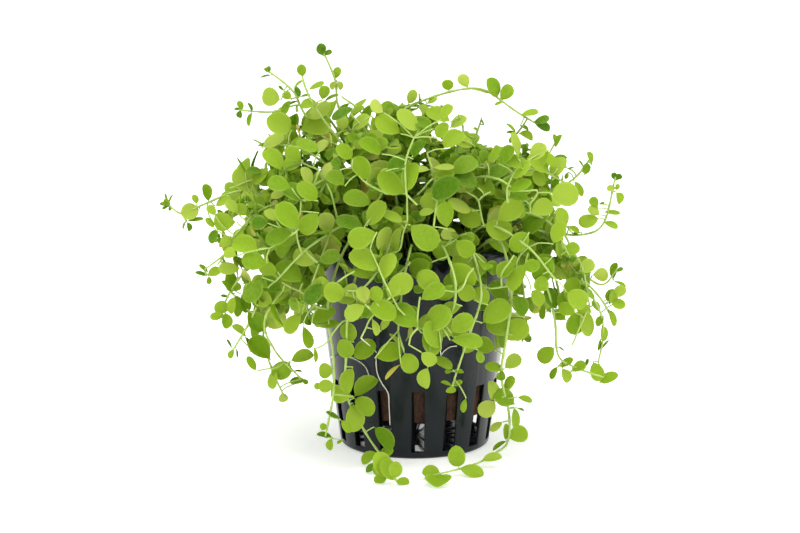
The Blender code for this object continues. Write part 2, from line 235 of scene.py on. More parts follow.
for cutter in cutters:
    cut = pot.modifiers.new(cutter.name, "BOOLEAN")
    cut.operation = "DIFFERENCE"
    cut.object = cutter
soften = pot.modifiers.new("softened_edges", "BEVEL")
soften.width = EDGE_SOFTNESS
soften.segments = 2
soften.angle_limit = SHARP_ANGLE
soften.use_clamp_overlap = False
finished_mesh(pot)
for cutter in cutters:
    bpy.data.objects.remove(cutter)
pot.data.materials.append(moulded_polypropylene())
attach(pot, "root")
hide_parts("net_pot")

# Growing plug
# The block of brown mineral wool that fills the pot down to half way behind the slots. It is matted from loose
# fibres, pushed in from above, and stays wedged in the pot's taper.
PLUG_BOTTOM = 9.0 * MM
PLUG_TOP = 46.0 * MM
PLUG_CROWN = 0.6 * MM
PLUG_SHOULDER = 2.0 * MM
PLUG_GAP = 0.5 * MM
PLUG_STEPS = 144
PLUG_ROW = 0.8 * MM
LUMP_SIZE = 2.2 * MM
LUMP_HEIGHT = 0.4 * MM
FIBRES = 700
FIBRE_LENGTHS = (3 * MM, 9 * MM)
FIBRE_RADIUS = 0.07 * MM
FIBRE_POINTS = 7
RIM_ANGLE = math.radians(75)


def fits(height):
    """The plug's radius at a height, just clear of the pot's wall."""
    return outer_radius(height) - WALL - PLUG_GAP


def plug_point(turn, share):
    """A point on the plug's skin: share runs from 0 in the middle of its top to 1 at the foot of its side."""
    top_share = 0.35
    if share < top_share:
        reach = share / top_share
        radius = (fits(PLUG_TOP) - PLUG_SHOULDER) * reach
        height = PLUG_TOP + PLUG_CROWN * (1 - reach ** 2)
    else:
        down = (share - top_share) / (1 - top_share)
        height = PLUG_TOP - (PLUG_TOP - PLUG_BOTTOM) * down
        shoulder = max(0.0, 1 - (PLUG_TOP - height) / PLUG_SHOULDER)
        radius = fits(height) - PLUG_SHOULDER * shoulder ** 2
    return Vector((radius * math.cos(turn), radius * math.sin(turn), height))


def mineral_wool():
    """Mineral wool gone reddish brown with peat and algae: dull, with paler fibre ends and darker hollows; the darker
    hollows are painted shade.
    """
    fibre_size = 0.35 * MM
    stain_size = 5 * MM
    material, place = new_material("brown_mineral_wool")
    drawn_out = add_node(material, "ShaderNodeMapping", {"Vector": place, "Scale": (1, 1, 0.2)})
    fibre = add_node(material, "ShaderNodeTexNoise", {
        "Vector": drawn_out.outputs[0], "Scale": 1 / fibre_size, "Detail": 3, "Roughness": 0.7})
    stain = add_node(material, "ShaderNodeTexNoise", {"Vector": place, "Scale": 1 / stain_size, "Detail": 3})
    ground = add_node(material, "ShaderNodeMix", {
        "Factor": stain.outputs["Fac"], "A": linear("#1f0f08"), "B": linear("#3d2213")}, data_type="RGBA")
    # Paler where the fibre bump rises, darker where it sinks: paler fibre ends, and painted shade in the hollows.
    pale_fibre_ends_and_hollow_shade = add_node(material, "ShaderNodeMapRange", {
        "Value": fibre.outputs["Fac"], "From Min": 0.45, "From Max": 0.8, "To Max": 0.6})
    colour = add_node(material, "ShaderNodeMix", {
        "Factor": pale_fibre_ends_and_hollow_shade.outputs[0], "A": ground.outputs[2], "B": linear("#6a4526")}, data_type="RGBA")
    bump = add_node(material, "ShaderNodeBump", {
        "Height": fibre.outputs["Fac"], "Strength": 0.8, "Distance": 0.3 * MM})
    shader = add_node(material, "ShaderNodeBsdfPrincipled", {
        "Base Color": colour.outputs[2], "Roughness": 0.95, "Normal": bump.outputs[0]})
    add_node(material, "ShaderNodeOutputMaterial", {"Surface": shader.outputs[0]})
    return material


class Growth:
    """The mesh of one piece as it is built up: its points, its faces and what its finishes read at each point."""

    def __init__(self):
        self.points, self.faces, self.finish = [], [], []
        self.read = {"edge": [], "tone": [], "age": []}

    def add(self, points, faces, finish=0, edge=0.0, tone=0.5, age=0.5):
        """Adds points and the faces between them. edge may be one number, or a list with one for each point."""
        first = len(self.points)
        self.points += points
        self.faces += [[first + i for i in face] for face in faces]
        self.finish += [finish] * len(faces)
        self.read["edge"] += edge if isinstance(edge, list) else [edge] * len(points)
        self.read["tone"] += [tone] * len(points)
        self.read["age"] += [age] * len(points)

    def take(self, other):
        """Takes over all that another growth holds."""
        first = len(self.points)
        self.points += other.points
        self.faces += [[first + i for i in face] for face in other.faces]
        self.finish += other.finish
        for reading, values in other.read.items():
            self.read[reading] += values

    def finish_piece(self, name, materials):
        """The object made from all of it, smooth, with one material for each number in finish."""
        mesh = bpy.data.meshes.new(name)
        mesh.from_pydata(self.points, [], self.faces)
        for material in materials:
            mesh.materials.append(material)
        mesh.polygons.foreach_set("material_index", self.finish)
        mesh.shade_smooth()
        mesh.set_sharp_from_angle(angle=RIM_ANGLE)
        for reading, values in self.read.items():
            mesh.attributes.new(reading, "FLOAT", "POINT").data.foreach_set("value", values)
        piece = bpy.data.objects.new(name, mesh)
        bpy.context.scene.collection.objects.link(piece)
        return piece


def add_tube(growth, line, radii, sides, **how):
    """A closed round tube along a line of points, with a radius at each."""
    heading = (line[1] - line[0]).normalized()
    normal = heading.orthogonal().normalized()
    points = [line[0]]
    for k, place in enumerate(line):
        heading = (line[min(k + 1, len(line) - 1)] - line[max(k - 1, 0)]).normalized()
        normal = (normal - normal.project(heading)).normalized()
        across = heading.cross(normal)
        for s in range(sides):
            turn = 2 * math.pi * s / sides
            points.append(place + (normal * math.cos(turn) + across * math.sin(turn)) * radii[k])
    points.append(line[-1])
    last = len(points) - 1
    faces = []
    for s in range(sides):
        after = (s + 1) % sides
        faces.append((0, 1 + after, 1 + s))
        faces.append((last, last - sides + s, last - sides + after))
        for k in range(len(line) - 1):
            low, high = 1 + k * sides, 1 + (k + 1) * sides
            faces.append((low + s, low + after, high + after, high + s))
    growth.add(points, faces, **how)


chance = random.Random(7)
plug = Growth()
rows = round((PLUG_TOP - PLUG_BOTTOM + fits(PLUG_TOP)) / PLUG_ROW)
skin = []
for row in range(rows + 1):
    for step in range(PLUG_STEPS):
        place = plug_point(2 * math.pi * step / PLUG_STEPS, row / rows)
        lump = noise.fractal(place / LUMP_SIZE, 1.0, 2.0, 3) * LUMP_HEIGHT
        out = Vector((place.x, place.y, 0)).normalized() if row > rows * 0.35 else Vector((0, 0, 1))
        skin.append(place + out * min(lump, PLUG_GAP * 0.8))
skin.append(Vector((0, 0, PLUG_BOTTOM + LUMP_HEIGHT)))
skin_faces = []
for step in range(PLUG_STEPS):
    after = (step + 1) % PLUG_STEPS
    for row in range(rows):
        low, high = row * PLUG_STEPS, (row + 1) * PLUG_STEPS
        skin_faces.append((low + step, high + step, high + after, low + after))
    skin_faces.append((rows * PLUG_STEPS + step, len(skin) - 1, rows * PLUG_STEPS + after))
plug.add(skin, skin_faces)
for _ in range(FIBRES):
    turn, share = chance.uniform(0, 2 * math.pi), math.sqrt(chance.uniform(0, 1))
    slant = chance.uniform(-math.pi, math.pi)
    length = chance.uniform(*FIBRE_LENGTHS)
    line = []
    for k in range(FIBRE_POINTS):
        along = (k / (FIBRE_POINTS - 1) - 0.5) * length
        slant += chance.uniform(-0.25, 0.25)
        at = plug_point(turn + along * math.cos(slant) / (20 * MM),
                        min(1.0, max(0.02, share + along * math.sin(slant) / (60 * MM))))
        line.append(at + Vector((at.x, at.y, 0)).normalized() * 0.1 * MM + Vector((0, 0, 0.2 * MM)))
    add_tube(plug, line, [FIBRE_RADIUS] * FIBRE_POINTS, 4)
plug_piece = plug.finish_piece("matted_plug", [mineral_wool()])
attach(plug_piece, "root")
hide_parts("growing_plug")

# Stems
# Each shoot is one thin, juicy, pale green stem that roots in the plug and arches out over the lip. It is a little
# thicker at each node, where its leaves sit, and thins towards its tip.
ROOT_HEIGHT = PLUG_TOP + PLUG_CROWN + 0.6 * MM
ROOTED_DEPTH = 2 * MM
STEM_RADIUS = 0.36 * MM
TIP_RADIUS = 0.2 * MM
STEM_STEP = 0.9 * MM
STEM_SIDES = 8

# Each route starts on the plug at (x, y) and goes on through (x, y, z), in millimetres
CROWN_ROUTES = {
    "shoot_crown_tall": [(-5, 2), (-11, 2, 66), (-18, 1, 81), (-19, 1, 88), (-22, 0, 95.5)],
    "shoot_crown_bud": [(-9, -1), (-16, -2, 66), (-26, -2, 80), (-29, -3, 86), (-35, -3, 91)],
    "shoot_crown_spray": [(-9, 5), (-15, 6, 68), (-22, 4, 80), (-28, 2, 82), (-34, 1, 80.5), (-42, 0, 81)],
    "shoot_crown_upright": [(-5, -5), (-12, -7, 66), (-22, -6, 80), (-25.5, -5, 86), (-27, -4, 91)],
    "shoot_crown_arch": [
        (-1, -2), (-6, -3, 66), (-8, -3, 76), (-3.5, -2.5, 81), (4, -2, 84.4), (12, -2, 86.4),
        (17, -2, 85.8), (24, -2, 81), (30.5, -2, 77),
    ],
    "shoot_crown_middle": [(2, 3), (3, 7, 68), (2, 9, 78), (1, 8, 84)],
    "shoot_crown_right": [(6, 2), (11, 3, 65), (14, 2, 73), (16, 2, 79)],
    "shoot_crown_outer": [(10, -1), (19, -1, 60), (29, -2, 67), (34, -2, 74.5)],
    "shoot_crown_left_front": [(-8, -5), (-16, -11, 64), (-25, -14, 73), (-33, -14, 75)],
    "shoot_crown_front_left": [(-2, -5), (-6, -10, 66), (-11, -14, 77), (-15, -15, 82)],
    "shoot_crown_front_right": [(3, -3), (7, -9, 66), (11, -13, 77), (10, -15, 82)],
    "shoot_crown_right_front": [(9, -5), (17, -11, 63), (27, -15, 69), (35, -15, 66)],
}
LEFT_ROUTES = {
    "shoot_left_upper": [(-12, 3), (-23, 7, 62), (-32, 8, 69), (-39, 7, 73)],
    "shoot_left_high": [(-13, -1), (-25, -3, 60), (-36, -4, 65), (-44, -5, 63)],
    "shoot_left_inner": [(-12, -4), (-24, -10, 59), (-35, -15, 60), (-43, -16, 53)],
    "shoot_left_far": [(-16, 2), (-28, 4, 57), (-41, 3, 61), (-51, 1, 58), (-56, 0, 56), (-60, 0, 59)],
    "shoot_left_middle": [(-16, -3), (-29, -7, 54), (-40, -9, 51), (-50, -8, 44)],
    "shoot_left_droop": [(-16, -7), (-28, -12, 54.5), (-38, -14, 47), (-44, -13, 39), (-46, -12, 33)],
    "shoot_left_hang": [(-13.5, -10.5), (-23, -18, 54), (-33, -19, 45), (-39, -17, 33), (-43, -15, 26)],
    "shoot_left_low": [
        (-11, -12.5), (-20, -20, 54), (-28, -23, 45), (-35, -22, 35), (-33, -20, 27), (-27, -19, 20),
    ],
    "shoot_left_tip": [
        (-15, -9), (-26, -15, 54), (-34, -15, 43), (-36, -13, 29), (-34, -14, 21), (-31, -14, 14),
    ],
    "shoot_left_back": [(-17, 7), (-28, 12, 56), (-41, 17, 50), (-49, 18, 40)],
}
RIGHT_ROUTES = {
    "shoot_right_high": [(12, 3), (22, 4, 58), (32, 3, 61), (38, 2, 64), (42, 2, 69)],
    "shoot_right_far": [(14, -1), (25, -1, 56), (34, 0, 51.5), (41, 0, 51), (45.5, 0, 54), (48, 0, 65)],
    "shoot_right_inner": [(12, -6), (22, -13, 58), (31, -17, 57), (36, -19.5, 49)],
    "shoot_right_side": [(17, 3), (28, 5, 54), (36.5, 4, 45), (42.5, 2, 39.5), (46, 1.5, 38.5), (49, 1, 42.5)],
    "shoot_right_tip": [(16, 0), (28, -3, 52), (38, -6, 43), (44, -6, 37), (47.5, -5, 31)],
    "shoot_right_hang": [(17, -4), (28, -8, 54), (37, -9, 45), (44, -8, 34), (45, -7, 27), (44, -7, 21)],
    "shoot_right_drop": [
        (13, -10), (23, -15, 52), (30, -15, 43), (33, -13, 33), (34, -12, 24), (38, -12, 21), (45, -12, 18.5),
    ],
    "shoot_right_bend": [(16, -7), (28, -12, 54), (38, -15, 48), (41, -16, 37)],
    "shoot_right_back": [(17, 7), (28, 12, 55), (37, 17, 48), (41, 19, 37)],
}
FRONT_ROUTES = {
    "shoot_front_upper_left": [(-8, -8), (-13, -15, 65), (-21, -24, 68), (-28, -29, 63)],
    "shoot_front_upper": [(-3, -8), (-5, -17, 65), (-7, -27, 67), (-10, -34, 61)],
    "shoot_front_upper_middle": [(2, -7), (4, -17, 65), (5, -27, 66), (4, -35, 59)],
    "shoot_front_upper_right": [(6, -6), (12, -14, 65), (19, -23, 68), (26, -28, 63)],
    "shoot_front_lower_left": [(-9, -11), (-15, -23, 57), (-24, -32, 54), (-32, -33, 46)],
    "shoot_front_lower_right": [(9, -9), (16, -22, 57), (25, -30, 54), (32, -31, 46)],
    "shoot_front_garland": [(-5, -12), (-5, -26, 56), (-8, -35, 50), (-13, -38, 45), (-20, -36, 46)],
    "shoot_front_middle": [(-1, -13), (-1, -26, 53), (-3, -33, 45), (-4, -35, 35)],
    "shoot_front_loop": [(3, -12), (5, -26, 55), (9, -35, 46), (7, -37, 37), (1, -37, 36), (-4, -39, 41)],
    "shoot_front_drop": [(7, -14), (12, -26, 53), (15, -31, 43), (12, -30, 32), (9, -28, 22)],
    "shoot_trailing_left": [
        (-6.5, -15), (-10, -27, 54), (-15, -31, 42), (-16, -29, 28), (-16, -27, 18),
        (-12, -25, 9), (-8, -26, 3), (-6.5, -32, 1.8), (-4.5, -41, 1.7),
    ],
    "shoot_trailing_short": [
        (-9, -14), (-15, -26, 54), (-20, -30, 41), (-19, -29, 28), (-19, -29, 19), (-21, -28, 8),
    ],
    "shoot_trailing_right": [
        (12, -12.5), (19, -23, 54), (22, -27, 43), (21, -26, 31), (20, -24, 22), (22, -21, 12),
        (22, -17, 4), (19, -19, 1.8), (13.5, -29, 1.7), (4, -38, 1.7),
    ],
}
BACK_ROUTES = {
    "shoot_back_crown_left": [(-4, 5), (-8, 12, 68), (-13, 17, 78), (-18, 19, 82)],
    "shoot_back_crown_right": [(6, 5), (11, 12, 63), (17, 17, 67), (24, 20, 65)],
    "shoot_back_upper_left": [(-6, 9), (-12, 18, 66), (-18, 28, 70), (-24, 35, 64)],
    "shoot_back_upper": [(0, 8), (1, 17, 67), (0, 28, 72), (-2, 37, 67)],
    "shoot_back_upper_right": [(6, 9), (12, 17, 66), (20, 26, 68), (27, 33, 62)],
    "shoot_back_left": [(-12, 9), (-21, 18, 58), (-31, 27, 55), (-39, 31, 46)],
    "shoot_back_left_hang": [(-10, 13), (-17, 24, 54), (-24, 33, 45), (-28, 37, 33), (-27, 37, 22)],
    "shoot_back_middle": [(1, 14), (2, 27, 55), (3, 37, 48), (5, 42, 37)],
    "shoot_back_long": [(-5, 15), (-7, 27, 53), (-10, 37, 43), (-12, 40, 29), (-12, 37, 15)],
    "shoot_back_right": [(12, 10), (21, 18, 58), (32, 26, 55), (40, 29, 46)],
    "shoot_back_right_hang": [(8, 14), (16, 24, 53), (24, 33, 44), (28, 36, 31), (28, 35, 18)],
}


def smooth_line(points, step):
    """Evenly spaced points, about a step apart, on the smooth curve through all the given ones."""
    spots = [points[0] * 2 - points[1], *points, points[-1] * 2 - points[-2]]
    dense = []
    for a, b, c, d in zip(spots, spots[1:], spots[2:], spots[3:]):
        for t in (k / 24 for k in range(24)):
            dense.append(0.5 * (2 * b + (c - a) * t + (2 * a - 5 * b + 4 * c - d) * t * t
                                + (3 * b - a - 3 * c + d) * t ** 3))
    dense.append(points[-1])
    reached = [0.0]
    for a, b in zip(dense, dense[1:]):
        reached.append(reached[-1] + (b - a).length)
    count = max(3, round(reached[-1] / step))
    even, k = [], 0
    for n in range(count + 1):
        goal = reached[-1] * n / count
        while k < len(dense) - 2 and reached[k + 1] < goal:
            k += 1
        even.append(dense[k].lerp(dense[k + 1], (goal - reached[k]) / (reached[k + 1] - reached[k])))
    return even


def stem_line(route):
    """The stem's own line, in metres, from where it goes into the plug to its tip."""
    x, y = (n * MM for n in route[0])
    above = [Vector((x, y, ROOT_HEIGHT)), *(Vector(p) * MM for p in route[1:])]
    return [Vector((x, y, ROOT_HEIGHT - ROOTED_DEPTH)), *smooth_line(above, STEM_STEP)]


def fresh_stem():
    """A live water plant's stem: smooth, wet-looking and pale green, paler where the light comes through."""
    streak_size = 1.6 * MM
    material, place = new_material("juicy_green_stem")
    streak = add_node(material, "ShaderNodeTexNoise", {"Vector": place, "Scale": 1 / streak_size, "Detail": 2})
    age = add_node(material, "ShaderNodeAttribute", attribute_name="age")
    fresh = add_node(material, "ShaderNodeMix", {
        "Factor": streak.outputs["Fac"], "A": linear("#8fac45"), "B": linear("#b4c876")}, data_type="RGBA")
    colour = add_node(material, "ShaderNodeMix", {
        "Factor": age.outputs["Fac"], "A": linear("#84a83c"), "B": fresh.outputs[2]}, data_type="RGBA")
    shader = add_node(material, "ShaderNodeBsdfPrincipled", {
        "Base Color": colour.outputs[2], "Roughness": 0.42, "IOR": 1.42, "Specular IOR Level": 0.3, "Subsurface Weight": 0.25,
        "Subsurface Radius": (0.5, 1.0, 0.2), "Subsurface Scale": 0.4 * MM})
    add_node(material, "ShaderNodeOutputMaterial", {"Surface": shader.outputs[0]})
    return material


# Leaves
# Small round or spoon-shaped blades, in opposite pairs on short stalks, thin enough for light to come through. They
# cup and fold a little, keep a fine paler rim that is a painted glow of light along the edge, and are smallest and
# darkest in the buds at the tips.
LEAF_LENGTH = 5.6 * MM
TIP_LEAF = 0.6
LEAF_WIDTHS = (0.84, 1.06)
LEAF_WEDGES = (0.0, 0.32)
LEAF_THICKNESS = 0.2 * MM
STALK_LENGTH = 0.5 * MM
STALK_HALF_WIDTH = 0.16 * MM
LEAF_ROWS = 8
LEAF_COLUMNS = 6
SOLID_ROWS = 4


def leaf_points(base, along, facing, length, width, chance):
    """The rows of points of one leaf from the stem's middle to its end, and how near the rim each point is."""
    along = along.normalized()
    face = (facing - facing.project(along)).normalized()
    across = along.cross(face)
    half_width = width / 2
    stalk = STALK_LENGTH * min(1.0, length / LEAF_LENGTH)
    wedge = chance.uniform(*LEAF_WEDGES)
    fullest = (wedge + 0.5) / (wedge + 1)
    full = fullest ** (wedge + 0.5) * (1 - fullest) ** 0.5
    cup, fold, arch = chance.uniform(-0.12, 0.4), chance.uniform(0, 0.25), chance.uniform(-0.05, 0.22)
    lean = chance.uniform(-0.06, 0.06)
    rows, edges = [], []
    for row in range(1, LEAF_ROWS + 1):
        share = (1 - math.cos(math.pi * (row - 1) / LEAF_ROWS)) / 2
        half = half_width * share ** (wedge + 0.5) * (1 - share) ** 0.5 / full
        half = max(half, STALK_HALF_WIDTH)
        upper, lower, edge = [], [], []
        for column in range(LEAF_COLUMNS + 1):
            u = 2 * column / LEAF_COLUMNS - 1
            rise = half * (cup * u * u + fold * math.sqrt(u * u + 0.04)) - arch * length * share * share
            thick = LEAF_THICKNESS * (1 - u * u)
            middle = (base + along * (stalk + length * share) + across * (half * u + lean * length * share ** 2)
                      + face * rise)
            upper.append(middle + face * thick / 2)
            lower.append(middle - face * thick / 2)
            edge.append(max(abs(u), (share - 0.82) / 0.18))
        rows.append((upper, lower))
        edges.append(edge)
    end = base + along * (stalk + length) + across * lean * length - face * arch * length
    return rows, edges, end


def leaf_mesh(base, rows, edges, end):
    """The closed mesh of a leaf: its points, its faces and the edge reading of each point."""
    points, reading = [base], [0.0]
    upper_at, lower_at = [], []
    for (upper, lower), edge in zip(rows, edges):
        first = len(points)
        points += upper + lower[1:-1]
        reading += edge + edge[1:-1]
        upper_at.append([first + c for c in range(LEAF_COLUMNS + 1)])
        under = first + LEAF_COLUMNS + 1
        lower_at.append([first, *range(under, under + LEAF_COLUMNS - 1), first + LEAF_COLUMNS])
    points.append(end)
    reading.append(1.0)
    last = len(points) - 1
    faces = []
    for c in range(LEAF_COLUMNS):
        faces.append((0, upper_at[0][c + 1], upper_at[0][c]))
        faces.append((0, lower_at[0][c], lower_at[0][c + 1]))
        faces.append((last, upper_at[-1][c], upper_at[-1][c + 1]))
        faces.append((last, lower_at[-1][c + 1], lower_at[-1][c]))
        for r in range(LEAF_ROWS - 1):
            faces.append((upper_at[r][c], upper_at[r][c + 1], upper_at[r + 1][c + 1], upper_at[r + 1][c]))
            faces.append((lower_at[r][c + 1], lower_at[r][c], lower_at[r + 1][c], lower_at[r + 1][c + 1]))
    return points, faces, reading


def living_leaf():
    """A live leaf: satin green skin over a blade that glows yellow-green with the light behind it. Each leaf has its
    own shade, which holds painted light and shade as well as its own colour, a few have turned yellow, and fine
    mottling shows close to. Its paler rim is a painted glow of light along the thin edge."""
    mottle_size = 0.7 * MM
    patch_size = 14 * MM
    material, place = new_material("living_pearlweed_leaf")
    edge = add_node(material, "ShaderNodeAttribute", attribute_name="edge")
    tone = add_node(material, "ShaderNodeAttribute", attribute_name="tone")
    age = add_node(material, "ShaderNodeAttribute", attribute_name="age")
    # The leaf's shade, with the painted light and shade it holds, turned into its colour.
    shade = add_node(material, "ShaderNodeValToRGB", {"Fac": tone.outputs["Fac"]})
    ramp = shade.color_ramp
    ramp.elements[0].position, ramp.elements[0].color = 0.0, linear("#6c9a0e")
    ramp.elements[1].position, ramp.elements[1].color = 1.0, linear("#d8c862")
    for position, code in ((0.35, "#8cb41a"), (0.65, "#abc836"), (0.93, "#d0db72")):
        ramp.elements.new(position).color = linear(code)
    young = add_node(material, "ShaderNodeMix", {
        "Factor": age.outputs["Fac"], "A": linear("#528a18"), "B": shade.outputs["Color"]}, data_type="RGBA")
    patch = add_node(material, "ShaderNodeTexNoise", {"Vector": place, "Scale": 1 / patch_size, "Detail": 2})
    mottle = add_node(material, "ShaderNodeTexNoise", {"Vector": place, "Scale": 1 / mottle_size, "Detail": 3})
    cloudy = add_node(material, "ShaderNodeMath", {0: patch.outputs["Fac"], 1: mottle.outputs["Fac"]},
                      operation="MULTIPLY")
    light_patch = add_node(material, "ShaderNodeMapRange", {
        "Value": cloudy.outputs[0], "From Min": 0.12, "From Max": 0.4, "To Max": 0.32})
    clouded = add_node(material, "ShaderNodeMix", {
        "Factor": light_patch.outputs[0], "A": young.outputs[2], "B": linear("#bcd25a")}, data_type="RGBA")
    # A paler rim along the leaf's edge: a painted glow of light along the thin margin.
    painted_rim_glow = add_node(material, "ShaderNodeMapRange", {
        "Value": edge.outputs["Fac"], "From Min": 0.8, "From Max": 1.0, "To Max": 0.38})
    colour = add_node(material, "ShaderNodeMix", {
        "Factor": painted_rim_glow.outputs[0], "A": clouded.outputs[2], "B": linear("#d2e27a")}, data_type="RGBA")
    bump = add_node(material, "ShaderNodeBump", {
        "Height": mottle.outputs["Fac"], "Strength": 0.1, "Distance": 0.1 * MM})
    skin = add_node(material, "ShaderNodeBsdfPrincipled", {
        "Base Color": colour.outputs[2], "Roughness": 0.55, "IOR": 1.42, "Normal": bump.outputs[0],
        "Specular IOR Level": 0.14})
    through = add_node(material, "ShaderNodeBsdfTranslucent", {"Color": colour.outputs[2]})
    blade = add_node(material, "ShaderNodeMixShader", {0: 0.5, 1: skin.outputs[0], 2: through.outputs[0]})
    add_node(material, "ShaderNodeOutputMaterial", {"Surface": blade.outputs[0]})
    return material


# Shoots
# A shoot is a stem with everything that grows on it: leaf pairs that turn a quarter from node to node, short side
# twigs in the leaf axils, and a cupped bud at the tip. Leaves turn their faces outwards and up, and shun each other.
# Each of these is for a main stem, a side branch and a short twig
NODE_SPACINGS = (6.0 * MM, 4.8 * MM, 3.4 * MM)
BARE_LENGTHS = (7 * MM, 3.5 * MM, 1.8 * MM)
SIDE_LENGTHS = ((9 * MM, 20 * MM), (4 * MM, 9 * MM), (3 * MM, 4 * MM))
BRANCH_CHANCES = (0.42, 0.0, 0.0)
TWIG_CHANCES = (0.5, 0.45, 0.0)
LEAF_SHARES = (1.0, 0.92, 0.78)
THICKNESSES = (STEM_RADIUS, 0.27 * MM, 0.2 * MM)
DROOP = 0.35
TRIES_FOR_A_SIDE = 4
FACE_SCATTER = 0.65
YELLOW_LEAVES = 0.02
LYING_HEIGHT = 4 * MM
SPREAD = 42 * MM
TABLE_GAP = 0.1 * MM
REACH = 42 * MM
TURNS_TO_TRY = (0, 25, -25, 50, -50, 80, -80)
CELL = 6 * MM
NODES_TO_TRY = 9
FILLING_SIZES = ((0.8, 1.05), (0.6, 0.8), (0.4, 0.6))
LONGEST_REACH = 14 * MM


# The outline of the plant's thick body in the photograph, clockwise from its upper left, in pixels
THICKET = [
    (262, 150), (270, 132), (286, 122), (305, 118), (330, 106), (352, 105), (366, 102), (384, 102), (394, 108), (406, 106),
    (425, 102), (446, 107), (460, 119), (468, 136), (480, 152), (500, 152), (520, 138), (538, 148), (556, 162),
    (564, 178), (570, 192), (560, 206), (556, 214), (562, 226), (558, 244), (570, 256), (584, 266), (592, 280),
    (592, 300), (584, 310), (568, 314), (548, 310), (541, 316), (534, 306), (529, 288), (520, 292), (515, 304),
    (512, 318), (520, 330), (510, 344), (490, 346),
    (470, 350), (440, 350), (404, 344), (380, 334), (345, 338), (332, 324), (308, 326), (296, 334), (286, 322),
    (272, 316), (262, 330), (250, 326), (244, 310), (243, 292), (232, 296), (224, 274), (228, 256), (218, 240),
    (212, 216), (230, 200), (236, 176), (250, 164),
]
# Behind the pot it hangs lower, where the pot hides it
HIDDEN = [(300, 300), (540, 300), (500, 420), (340, 420)]
PATCH = 4


def inside(spot, outline):
    """Whether a spot of the picture lies inside an outline of corners."""
    hit = False
    for (ax, ay), (bx, by) in zip(outline, outline[1:] + outline[:1]):
        if (ay > spot.y) != (by > spot.y) and spot.x < (bx - ax) * (spot.y - ay) / (by - ay) + ax:
            hit = not hit
    return hit


def in_thicket(place):
    """Whether a place is within the plant's thick body, as the camera sees it, and within its reach from behind."""
    spot = picture_place(place)
    return abs(place.y) < REACH and (inside(spot, THICKET) or place.y > 0 and inside(spot, HIDDEN))


def patch_of(place):
    """Which small square patch of the picture a place is seen in."""
    spot = picture_place(place)
    return math.floor(spot.x / PATCH), math.floor(spot.y / PATCH)


def hides_shown(points):
    """Whether any of these places would stand in front of a leaf or a gap that the photograph shows."""
    return any(place.y < nothing_before.get(patch_of(place), -1) for place in points)


def cells_round(place):
    """The boxes of the look-up grid that a leaf at this place may touch."""
    x, y, z = (math.floor(n / CELL) for n in place)
    return [(x + i, y + j, z + k) for i in (-1, 0, 1) for j in (-1, 0, 1) for k in (-1, 0, 1)]


def is_clear(points, faces, owner):
    """Whether a new leaf or twig stays off the table and clear of the pot, every other stem and every leaf."""
    if min(p.z for p in points) < TABLE_GAP:
        return None
    tree = BVHTree.FromPolygons(points, faces)
    middle = sum(points, Vector()) / len(points)
    for cell in cells_round(middle):
        for other in leaves_in.get(cell, ()):
            if tree.overlap(other):
                return None
    for name, other, low, high in stems_there:
        if name != owner and all(low[i] < middle[i] < high[i] for i in range(3)) and tree.overlap(other):
            return None
    return tree


def note_stem(name, points, faces):
    """Remembers a stem, the pot or the plug, with the box in which a leaf could touch it."""
    low = [min(p[i] for p in points) - LEAF_LENGTH for i in range(3)]
    high = [max(p[i] for p in points) + LEAF_LENGTH for i in range(3)]
    stems_there.append((name, BVHTree.FromPolygons(points, faces), low, high))


def open_air(place):
    """Which way a leaf faces there: outwards down the sides, upwards on the crown, and flat up on the table."""
    if place.z < LYING_HEIGHT:
        return Vector((0, 0, 1.6))
    height = max(0.0, place.z - POT_HEIGHT) / SPREAD
    return Vector((place.x / SPREAD * 1.2, place.y / SPREAD * 1.2 - 0.12, 0.3 + 0.75 * height)).normalized()


def grow_leaf(growth, owner, base, along, length, age, chance):
    """Grows one leaf where there is room for it, and says whether it did."""
    facing = open_air(base) + FACE_SCATTER * Vector(chance.uniform(-1, 1) for _ in range(3))
    width = length * chance.uniform(*LEAF_WIDTHS)
    rows, edges, end = leaf_points(base, along, facing, length, width, chance)
    points, faces, reading = leaf_mesh(base, rows, edges, end)
    if not in_thicket(sum(points, Vector()) / len(points)):
        return False
    if hides_shown(points):
        return False
    outer = [f for f in faces if min(f) > SOLID_ROWS * 2 * LEAF_COLUMNS]
    tree = is_clear(points, outer, owner)
    if tree is None:
        return False
    middle = sum(points, Vector()) / len(points)
    leaves_in.setdefault(tuple(math.floor(n / CELL) for n in middle), []).append(tree)
    covered.update(patch_of(place) for place in points)
    # Leaves further from the middle of the plant get paler tones and inner ones darker: painted light and shade, over
    # a random spread of tones.
    painted_light_outward = math.hypot(middle.x, middle.y, middle.z - POT_HEIGHT) / SPREAD
    tone = 1.0 if chance.random() < YELLOW_LEAVES else min(0.95, max(0.0, chance.gauss(0.3 + 0.3 * painted_light_outward, 0.2)))
    growth.add(points, faces, 1, reading, tone, age)
    return True


def grow_pair(growth, owner, here, heading, roll, length, age, chance, spread=1.0):
    """Two opposite leaves at a node, each turned on until it has room."""
    side = heading.cross(open_air(here)).normalized()
    for hand in (1, -1):
        for extra in TURNS_TO_TRY:
            turn = math.radians(roll + hand * extra)
            out = (side * math.cos(turn) + heading.cross(side) * math.sin(turn)) * hand
            along = out * spread + heading * chance.uniform(0.25, 0.7)
            if grow_leaf(growth, owner, here, along, length * chance.uniform(0.85, 1.12), age, chance):
                break


def grow_bud(growth, owner, tip, heading, size, chance):
    """The cupped cluster of small leaves that ends a stem."""
    roll = chance.uniform(0, 90)
    grow_pair(growth, owner, tip - heading * size * 0.35, heading, roll, size, 0.6, chance)
    grow_pair(growth, owner, tip, heading, roll + 90, size * 0.62, 0.2, chance, 0.8)


